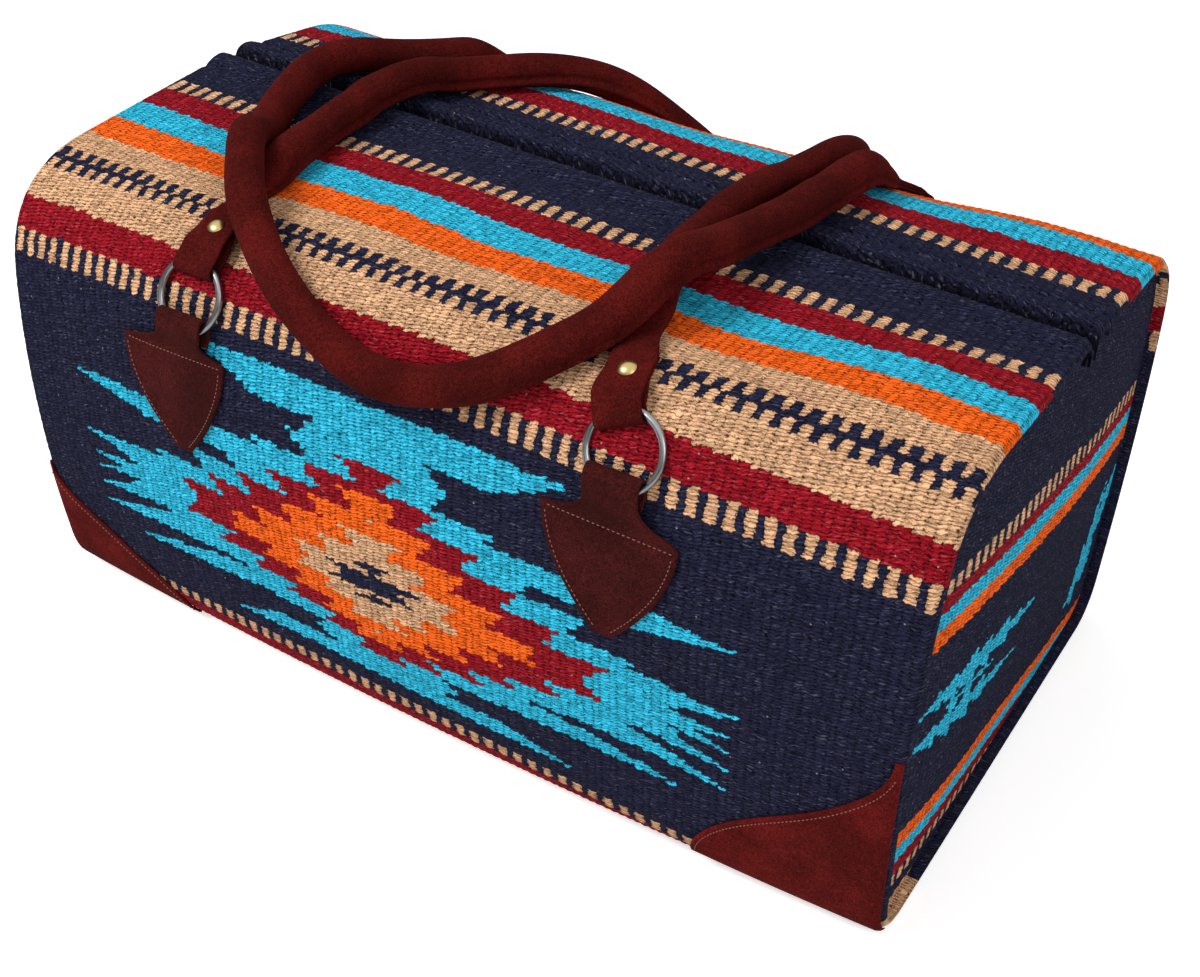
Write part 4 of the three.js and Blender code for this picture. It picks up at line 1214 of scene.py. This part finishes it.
class DUFFEL_OT_tabs(Operator):
    """Cuts the shield-shaped tabs and folds their necks round the rings"""

    bl_idname = "duffel.tabs"
    bl_label = "Ring tabs"

    def execute(self, context):
        bag, suede, fit = fitted()
        material = material_for(suede_material, "tab_suede", suede.tab_colour)
        for side_name, side, end_name, end in corners():
            piece = self.tab(f"tab_{side_name}_{end_name}", bag, suede, fit, side, end)
            dress(piece, material, "suede", "bag", f"{side_name}_ring_tab_{end_name}")
        return {"FINISHED"}

    def tab(self, name, bag, suede, fit, side, end):
        """Tab: rows of the shield on the cloth, then the neck up to the eye, over it and down.

        The neck stands out by an eased step and goes over the ring as axis + (a cos t, b sin t).
        """
        axis = fit.axis(end, side)
        horns, x = fit.horns(end, side)
        across, ease_columns = rim_steps(18, 0.012)
        down, _ = rim_steps(30, 0.01)
        down = down[::-1]
        off = suede.seat + suede.hide / 2
        half = tab_half(suede, down)
        girth = horns + side * suede.tab_height * down
        middle, normal = sheet_on_bag(bag, girth, x - half, x + half, across, off)
        base = middle[-1, len(across) // 2]
        rise = np.linspace(0, 1, 15)[1:]
        along, away = fit.along(side), fit.away(side)
        lift = np.array([0, 0, 1.0])
        start_side, start_out, start_up = (base - axis) @ np.stack([along, away, lift], axis=1)
        wide, fold_out, fold_up = suede.neck_width, suede.fold_out, suede.fold_up
        if side < 0:
            wide = suede.neck
            fold_out = fold_up = fit.bore + suede.hide / 2
        front_out = mix(start_out, fold_out, rise * rise * (3 - 2 * rise))
        front_up = mix(start_up, 0, rise)
        turn = np.linspace(0, np.pi, 17)[1:]
        over_out, over_up = fold_out * np.cos(turn), fold_up * np.sin(turn)
        fall = np.linspace(0, 1, 6)[1:]
        back_out = mix(-fold_out, start_out + 0.4 * MM, fall)
        back_up = mix(0, -suede.neck_tail, fall)
        out = np.concatenate([front_out, over_out, back_out])
        up = np.concatenate([front_up, over_up, back_up])
        neck_half = np.full_like(out, wide / 2)
        neck_half[: len(rise)] = mix(wide, suede.tab_width, (1 - rise) ** 4) / 2
        beside = np.zeros_like(out)
        beside[: len(rise)] = start_side * (1 - smooth(rise, 0, 1))
        path = np.concatenate([[(start_out, start_up)], np.stack([out, up], axis=1)])
        tangent = unit(np.gradient(path, axis=0))[1:]
        turned = tangent[:, 1:2] * away + -tangent[:, 0:1] * lift
        line = axis + out[:, None] * away + up[:, None] * lift + beside[:, None] * along
        aside = (2 * across - 1)[None, :, None] * neck_half[:, None, None] * along
        neck = line[:, None, :] + aside
        neck_normal = np.broadcast_to(turned[:, None, :], neck.shape)
        blend = smooth(np.arange(len(out)), 0, 5)[:, None, None]
        neck_normal = unit(mix(normal[-1:], neck_normal, blend))
        middle = np.concatenate([middle, neck])
        normal = np.concatenate([normal, neck_normal])
        return add_slab(name, middle, normal, suede.hide, rim_ease(len(middle)), ease_columns)


class DUFFEL_OT_rings(Operator):
    """Bends the four rings"""

    bl_idname = "duffel.rings"
    bl_label = "Rings"

    def execute(self, context):
        bag, suede, fit = fitted()
        material = material_for(metal_material, "ring_nickel", suede.steel, 0.3)
        for side_name, side, end_name, end in corners():
            name = f"{side_name}_ring_{end_name}"
            piece = self.ring(f"wire_{name}", suede, fit, side, end)
            dress(piece, material, "ring_steel", f"{side_name}_handle_body", name)
        return {"FINISHED"}

    def ring(self, name, suede, fit, side, end):
        """Ring: centre + (R + r cos b)(x cos a + up sin a) + out r sin b."""
        centre = fit.centre(end, side)
        around, sides = 96, 20
        a = np.linspace(0, 2 * np.pi, around + 1)[:-1, None]
        b = np.linspace(0, 2 * np.pi, sides + 1)[None, :-1]
        wire = suede.ring_wire / 2
        reach = (fit.mean + wire * np.cos(b))[..., None]
        flat = np.cos(a)[..., None] * fit.along(side) + np.sin(a)[..., None] * fit.up(side)
        points = centre + reach * flat + (wire * np.sin(b))[..., None] * fit.out(side)
        points = points.reshape(-1, 3)
        quads, _ = outward(points - centre, grid_quads(around, sides, True, True))
        return add_piece(name, points, quads)


ROUTES = {
    "front": ((-161, 20), (-118, -72), (40, -190), (104, -125), (96, 15), (99, 90), (118, 143)),
    "back": ((-148, -105), (-215, 5), (-152, 143), (-10, 214), (97, 162), (123, 30)),
}


def spline(points, steps):
    """Even samples of the curve through the points: cubic spans with slopes (next - last) / 2."""
    points = np.asarray(points, float)
    padded = np.concatenate([points[:1], points, points[-1:]])
    t = np.linspace(0, 1, 121)[:, None]
    spans = []
    for k in range(len(points) - 1):
        p0, p1, p2, p3 = padded[k : k + 4]
        v0, v1 = (p2 - p0) / 2, (p3 - p1) / 2
        cubic = 2 * p1 - 2 * p2 + v0 + v1
        square = -3 * p1 + 3 * p2 - 2 * v0 - v1
        spans.append(cubic * t**3 + square * t**2 + v0 * t + p1)
    line = np.concatenate([span[:-1] for span in spans] + [points[-1:]])
    run = run_along(line)
    at = np.linspace(0, run[-1], steps)
    return np.stack([np.interp(at, run, line[:, k]) for k in range(2)], axis=1), at


class Handle:
    """Middle line and frames of a handle: its route in x and girth, lifted off the cloth."""

    STEPS = 280

    def __init__(self, bag, suede, fit, side, under=None):
        self.suede = suede
        name = "front" if side > 0 else "back"
        anchors = []
        for end in (-1, 1):
            start = fit.strap_start(end, side)
            anchors.append((start[0], bag.girth_near(start[0], start, side)))
        way = [(x * MM, g * MM) for x, g in ROUTES[name]]
        route, run = spline([anchors[0], *way, anchors[1]], self.STEPS)
        self.x, self.girth = route.T
        self.from_ring = np.minimum(run, run[-1] - run)
        self.half, self.thick, self.roll = self.section(self.from_ring)
        feet = [fit.strap_start(end, side) for end in (-1, 1)]
        stands = [np.linalg.norm(f - bag.at(*anchor)) for f, anchor in zip(feet, anchors)]
        stand = np.where(run < run[-1] / 2, stands[0], stands[1])
        form = bag.form
        hem = form.hem_puff * (1 - smooth(np.abs(self.girth), form.hem, form.hem + suede.tube))
        rest = self.thick + suede.lay_gap + hem
        height = np.maximum(rest, mix(stand, rest, smooth(self.from_ring, 0, suede.strap_length)))
        self.height = height if under is None else self.over(height, under)
        self.point = bag.at(self.x, self.girth, self.height)
        self.tangent = unit(np.gradient(self.point, axis=0))
        _, normal = bag.look(self.x, self.girth)
        self.across = unit(np.cross(self.tangent, normal))
        self.lift = np.cross(self.across, self.tangent)

    def section(self, from_ring):
        suede = self.suede
        roll = smooth(from_ring, suede.strap_length, suede.strap_length + suede.strap_taper)
        from_pinch = (from_ring - suede.pinch_place) / suede.pinch_run
        pinch = 1 - suede.pinch * np.exp(-(from_pinch**2))
        half = mix(suede.strap, suede.tube, roll) / 2 * pinch
        return half, mix(suede.strap_thick, suede.tube, roll) / 2, roll

    def over(self, height, under):
        """Height where it climbs over the other: other + 1.15 clear (1 - share^2)."""
        apart = np.hypot(self.x[:, None] - under.x, self.girth[:, None] - under.girth)
        above = (self.thick + self.suede.lay_gap)[:, None]
        share = apart / ((above + under.half) * 1.3)
        climb = under.height + (above + under.thick) * 1.15 * (1 - share * share)
        raised = np.maximum(height, np.where(share < 1, climb, 0).max(axis=1))
        window = np.hanning(15) / np.hanning(15).sum()
        eased = np.convolve(np.pad(raised, 7, mode="edge"), window, mode="valid")
        return np.maximum(raised, eased)

    def frame_at(self, distance, last=False):
        """Point, across, lift at a distance from one ring."""
        order = slice(None, None, -1) if last else slice(None)
        half = self.STEPS // 2
        reach = self.from_ring[order][:half]

        def pick(values):
            near = values[order][:half]
            return np.stack([np.interp(distance, reach, near[:, k]) for k in range(3)], axis=-1)

        return pick(self.point), unit(pick(self.across)), unit(pick(self.lift))


def both_handles(bag, suede, fit):
    front = Handle(bag, suede, fit, 1)
    return {"front": front, "back": Handle(bag, suede, fit, -1, front)}


class DUFFEL_OT_handles(Operator):
    """Rolls the handles and folds their strap ends round the rings"""

    bl_idname = "duffel.handles"
    bl_label = "Handles"

    def execute(self, context):
        bag, suede, fit = fitted()
        material = material_for(suede_material, "handle_suede", suede.handle_colour)
        for name, handle in both_handles(bag, suede, fit).items():
            body = f"{name}_handle_body"
            grip = self.grip(f"grip_{name}", suede, handle)
            dress(grip, material, "suede", body, f"{name}_handle")
            for end_name, end in ENDS.items():
                piece = self.fold(f"strap_{name}_{end_name}", suede, fit, handle, SIDES[name], end)
                dress(piece, material, "suede", body, f"{name}_handle")
        return {"FINISHED"}

    def grip(self, name, suede, handle):
        """Grip: flat strap that rolls into a tube with a sewn flange along its underside."""
        keep = handle.from_ring > suede.grip_start
        roll = handle.roll[keep]
        run = np.cumsum(np.ones(keep.sum())) / keep.sum()
        uneven = 1 + 0.02 * np.sin(37 * run) * roll + 0.015 * np.sin(83 * run + 1) * roll

        def flange(turn):
            ridge = np.exp(-(((turn - 1.84 * np.pi) / 0.15) ** 2))
            return 1 + 0.2 * ridge - 0.07 * np.exp(-(((turn - 1.95 * np.pi) / 0.13) ** 2))

        return add_tube(
            name,
            handle.point[keep],
            handle.across[keep],
            handle.lift[keep],
            handle.half[keep] * uneven,
            (handle.thick[keep] + 0.15 * MM * (1 - roll)) * uneven,
            mix(0.4, 1.0, roll),
            72,
            flange,
        )

    def fold(self, name, suede, fit, handle, side, end):
        """Strap end: down its outer side, round the ring and up its inner side, as one sheet."""
        last = end > 0
        reach = np.linspace(suede.fold_reach, 0, 16)
        point, across, lift = handle.frame_at(reach, last)
        spread = mix(1.4 * MM, fit.wall + suede.hide / 2, 1 - smooth(reach, 2 * MM, 14 * MM))
        outer = point + lift * spread[:, None]
        inner = (point - lift * spread[:, None])[::-1]
        (up, aside), out = fit.strap_way(end, side), fit.out(side)
        centre = fit.centre(end, side) + up * (fit.mean - fit.bow_over(suede.strap_foot))
        turn = np.linspace(0, -np.pi, 19)[:, None]
        radius = fit.wall + suede.hide / 2
        loop = centre + radius * (out * np.cos(turn) + up * np.sin(turn))
        line = np.concatenate([outer, loop, inner])
        ways = across * np.sign(across @ aside)[:, None]
        sides = np.concatenate([ways, np.broadcast_to(aside, loop.shape), ways[::-1]])
        tangent = unit(np.gradient(line, axis=0))
        normal = unit(np.cross(sides, tangent))
        if normal[0] @ lift[0] < 0:
            normal = -normal
        shares, ease_columns = rim_steps(12, 0.03)
        leg = mix(suede.strap_foot, suede.strap, smooth(reach, 0, 16 * MM)) / 2
        widths = np.concatenate([leg, np.full(len(loop), suede.strap_foot / 2), leg[::-1]])
        aside = (widths[:, None] * (2 * shares - 1))[..., None]
        middle = line[:, None, :] + sides[:, None, :] * aside
        normals = np.broadcast_to(normal[:, None, :], middle.shape)
        return add_slab(name, middle, normals, suede.hide, rim_ease(len(line)), ease_columns)


class DUFFEL_OT_rivets(Operator):
    """Sets the rivets through the strap ends"""

    bl_idname = "duffel.rivets"
    bl_label = "Rivets"

    def execute(self, context):
        bag, suede, fit = fitted()
        material = material_for(metal_material, "rivet_brass", suede.brass, 0.32)
        for name, handle in both_handles(bag, suede, fit).items():
            for end_name, end in ENDS.items():
                piece = self.rivet(f"rivet_{name}_{end_name}", suede, handle, end)
                node = f"{name}_handle_rivet_{end_name}"
                dress(piece, material, "brass", f"{name}_handle_body", node)
        return {"FINISHED"}

    def rivet(self, name, suede, handle, end):
        """Rivet: a flat rim under a dome, h = rise (1 - (r / R)^2.6), about the strap's normal."""
        point, across, lift = handle.frame_at(suede.rivet_reach, end > 0)
        forward = np.cross(lift, across)
        seat = suede.strap_thick / 2
        share = np.sin(np.linspace(np.pi / 2, 0, 14))
        radius = np.concatenate([[0.4, 0.97], share]) * suede.rivet
        dome = suede.rivet_rise * (1 - share**2.6) + 0.45 * MM
        height = seat - 0.1 * MM + np.concatenate([[-0.6 * MM, 0], dome])
        sides = 36
        turn = 2 * np.pi * np.arange(sides) / sides
        ring = np.cos(turn)[:, None] * across + np.sin(turn)[:, None] * forward
        rows = point + radius[:-1, None, None] * ring + (height[:-1, None] * lift)[:, None, :]
        ends = np.stack([point + lift * height[0], point + lift * height[-1]])
        points = np.concatenate([rows.reshape(-1, 3), ends])
        count = len(radius) - 1
        quads = grid_quads(count, sides, round_columns=True)
        quads, triangles = outward(points - point, quads, end_fans(count, sides))
        return add_piece(name, points, quads, triangles)


class DUFFEL_OT_stitches(Operator):
    """Sews the seams of the tabs and patches"""

    bl_idname = "duffel.stitches"
    bl_label = "Stitches"

    def execute(self, context):
        bag, suede, fit = fitted()
        material = material_for(plain_material, "sewing_thread", suede.thread_colour, 0.9)
        for side_name, side, end_name, end in corners():
            name = f"{side_name}_{end_name}"
            lines = self.tab_lines(suede, fit, side, end)
            piece = self.seam(f"seam_tab_{name}", bag, suede, lines, suede.hide)
            dress(piece, material, "suede", "bag")
            line = self.patch_line(bag, suede, side, end)
            piece = self.seam(f"seam_patch_{name}", bag, suede, [line], suede.patch_hide)
            dress(piece, material, "suede", "bag")
        return {"FINISHED"}

    def tab_lines(self, suede, fit, side, end):
        horns, x = fit.horns(end, side)
        inset = suede.stitch_inset
        wide = suede.tab_width / 2 - inset
        level = horns + side * suede.top_inset
        top = np.array([(x - wide, level), (x + wide, level)])
        down = np.linspace(0.06, 0.955, 60)
        half = tab_half(suede, down)
        slope = np.gradient(half, down * suede.tab_height)
        half = np.maximum(half - inset * np.sqrt(1 + slope**2), 0)
        girth = horns + side * suede.tab_height * down
        return [top, np.stack([x - half, girth], axis=1), np.stack([x + half, girth], axis=1)]

    def patch_line(self, bag, suede, side, end):
        seam, foot, rise = patch_corner(bag, suede, side, end)
        up = np.linspace(0.02, 0.93, 90)
        run = patch_run(suede, up)
        slope = np.gradient(run, up * rise)
        run = np.maximum(run - suede.patch_inset * np.sqrt(1 + slope**2), 1 * MM)
        return np.stack([seam - end * run, foot - side * rise * up], axis=1)

    def seam(self, name, bag, suede, lines, hide):
        """Stitches: short arched threads, point(s) + girth(s) (cos a side + sin a normal)."""
        starts = []
        for line in lines:
            run = run_along(line)
            at = np.arange(suede.stitch_pitch / 2, run[-1] - suede.stitch, suede.stitch_pitch)
            ends = [
                np.stack([np.interp(at + more, run, line[:, k]) for k in range(2)], axis=1)
                for more in (0, suede.stitch)
            ]
            starts.append(np.stack(ends, axis=1))
        pairs = np.concatenate(starts)
        rings, sides = 5, 6
        share = np.array([0.0, 0.2, 0.5, 0.8, 1.0])
        route = mix(pairs[:, :1], pairs[:, 1:], share[None, :, None])
        arch = np.sin(np.pi * share) * 0.25 * MM
        point, normal = bag.look(route[..., 0], route[..., 1])
        point = point + normal * (suede.seat + hide + arch)[None, :, None]
        tangent = unit(np.gradient(point, axis=1))
        aside = np.cross(tangent, normal)
        turn = 2 * np.pi * np.arange(sides) / sides
        girth = suede.thread * np.array([0.45, 0.95, 1.0, 0.95, 0.45])
        c, s = np.cos(turn)[:, None], np.sin(turn)[:, None]
        ring = c * aside[..., None, :] + s * normal[..., None, :]
        points = point[..., None, :] + ring * girth[None, :, None, None]
        count = len(points)
        quads = grid_quads(rings, sides, round_columns=True)
        caps = np.array([[0, 1, 2, 3], [0, 3, 4, 5]])
        quads = np.concatenate([quads, caps, caps[:, ::-1] + (rings - 1) * sides])
        one, _ = outward(points[0].reshape(-1, 3) - point[0, 2], quads)
        first = rings * sides * np.arange(count)
        faces = (one[None] + first[:, None, None]).reshape(-1, 4)
        return add_piece(name, points.reshape(-1, 3), faces)


class DUFFEL_OT_zip(Operator):
    """Finishes the zip's tapes, teeth, slider and pull"""

    bl_idname = "duffel.zip"
    bl_label = "Zip"

    def execute(self, context):
        _, _, suede, _ = settings()
        tape = material_for(plain_material, "tape_cloth", suede.tape, 0.95)
        metal = material_for(metal_material, "tooth_metal", suede.teeth, 0.4)
        kept = {
            "zip_tape_front": tape,
            "zip_tape_back": tape,
            "zip_teeth_front": metal,
            "zip_teeth_back": metal,
            "zip_slider": metal,
            "zip_pull": metal,
        }
        for name, material in kept.items():
            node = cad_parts[name]
            if not node.material_slots:
                raise RuntimeError(f"{name} has no material slot")
            node.material_slots[0].material = material
        return {"FINISHED"}


class DUFFEL_OT_stage(Operator):
    """Sets up the camera, the white floor and the lamps"""

    bl_idname = "duffel.stage"
    bl_label = "Stage"

    def execute(self, context):
        _, _, _, stage = settings()
        scene = context.scene
        scene.view_settings.view_transform = "Standard"
        self.camera(scene, stage)
        self.floor(stage)
        self.lamp("key", (-0.9, -1.3, 2.0), 0.9, stage.key)
        self.lamp("fill", (1.9, -0.6, 1.2), 1.4, stage.fill)
        self.sky(scene, stage)
        return {"FINISHED"}

    def camera(self, scene, stage):
        az, el, roll = stage.azimuth, stage.elevation, stage.roll
        back = Vector((math.sin(az) * math.cos(el), -math.cos(az) * math.cos(el), math.sin(el)))
        right = Vector((math.cos(az), math.sin(az), 0))
        up = back.cross(right)
        x = right * math.cos(roll) + up * math.sin(roll)
        y = up * math.cos(roll) - right * math.sin(roll)
        data = bpy.data.cameras.new("camera")
        data.lens = stage.lens
        data.sensor_width = 36
        data.sensor_fit = "HORIZONTAL"
        data.clip_start, data.clip_end = 0.05, 50
        camera = bpy.data.objects.new("camera", data)
        scene.collection.objects.link(camera)
        place = Vector((stage.target_x, stage.target_y, stage.target_z)) + back * stage.distance
        turn = Matrix((x, y, back)).transposed().to_4x4()
        camera.matrix_world = Matrix.Translation(place) @ turn
        scene.camera = camera

    def floor(self, stage):
        side = stage.floor
        corners = np.array([(-1, -1, 0), (1, -1, 0), (1, 1, 0), (-1, 1, 0)]) * side
        floor = add_piece("floor", corners, np.array([[0, 1, 2, 3]]))
        white = (0.84, 0.84, 0.84, 1)
        material, surface, start = new_material("floor", Base_Color=white, Roughness=1.0)
        surface.inputs["Specular IOR Level"].default_value = 0.0
        surface.inputs["Emission Strength"].default_value = 0.56
        path = start.node("ShaderNodeLightPath", {}, {})
        feed(surface, Emission_Color=path.tint((0, 0, 0, 1), (1, 1, 1, 1)))
        floor.data.materials.append(material)

    def lamp(self, name, place, size, power):
        """A round lamp aimed at the middle of the bag."""
        data = bpy.data.lights.new(name, "AREA")
        data.shape = "DISK"
        data.size = size
        data.energy = power
        lamp = bpy.data.objects.new(name, data)
        bpy.context.scene.collection.objects.link(lamp)
        way = Vector((0, 0, 150 * MM)) - Vector(place)
        turn = way.to_track_quat("-Z", "Y").to_matrix().to_4x4()
        lamp.matrix_world = Matrix.Translation(place) @ turn

    def sky(self, scene, stage):
        world = bpy.data.worlds.new("sky")
        world.use_nodes = True
        scene.world = world
        tree = world.node_tree
        background = tree.nodes["Background"]
        background.inputs["Color"].default_value = (1, 1, 1, 1)
        path = Shade(tree).node("ShaderNodeLightPath", {}, {})
        camera = Shade(tree, path.socket.node.outputs["Is Camera Ray"])
        shiny = Shade(tree, path.socket.node.outputs["Is Glossy Ray"])
        _, _, rise = Shade(tree).node("ShaderNodeTexCoord", {}, {}).split()
        level = camera * (1 - stage.sky) + stage.sky + shiny * (rise.ease(0.1, 0.8) * 1.1 - 0.5)
        tree.links.new(level.socket, background.inputs["Strength"])


OPERATORS = (
    DUFFEL_OT_wrap,
    DUFFEL_OT_panels,
    DUFFEL_OT_patches,
    DUFFEL_OT_tabs,
    DUFFEL_OT_rings,
    DUFFEL_OT_handles,
    DUFFEL_OT_rivets,
    DUFFEL_OT_stitches,
    DUFFEL_OT_zip,
    DUFFEL_OT_stage,
)


class DUFFEL_PT_panel(Panel):
    """Steps that build the bag, in order"""

    bl_idname = "DUFFEL_PT_panel"
    bl_label = "Woven duffel bag"
    bl_space_type = "VIEW_3D"
    bl_region_type = "UI"
    bl_category = "Duffel"

    def draw(self, context):
        for operator in OPERATORS:
            self.layout.operator(operator.bl_idname)


GROUPS = {
    "duffel_form": DuffelForm,
    "duffel_cloth": DuffelCloth,
    "duffel_suede": DuffelSuede,
    "duffel_stage": DuffelStage,
}
CLASSES = (*GROUPS.values(), *OPERATORS, DUFFEL_PT_panel)


def register():
    for cls in CLASSES:
        bpy.utils.register_class(cls)
    for name, group in GROUPS.items():
        setattr(bpy.types.Scene, name, PointerProperty(type=group))


def unregister():
    for name in GROUPS:
        delattr(bpy.types.Scene, name)
    for cls in reversed(CLASSES):
        bpy.utils.unregister_class(cls)


def main():
    register()
    bpy.ops.duffel.wrap()
    bpy.ops.duffel.panels()
    bpy.ops.duffel.patches()
    bpy.ops.duffel.tabs()
    bpy.ops.duffel.rings()
    bpy.ops.duffel.handles()
    bpy.ops.duffel.rivets()
    bpy.ops.duffel.stitches()
    bpy.ops.duffel.zip()
    bpy.ops.duffel.stage()


if __name__ == "__main__":
    main()
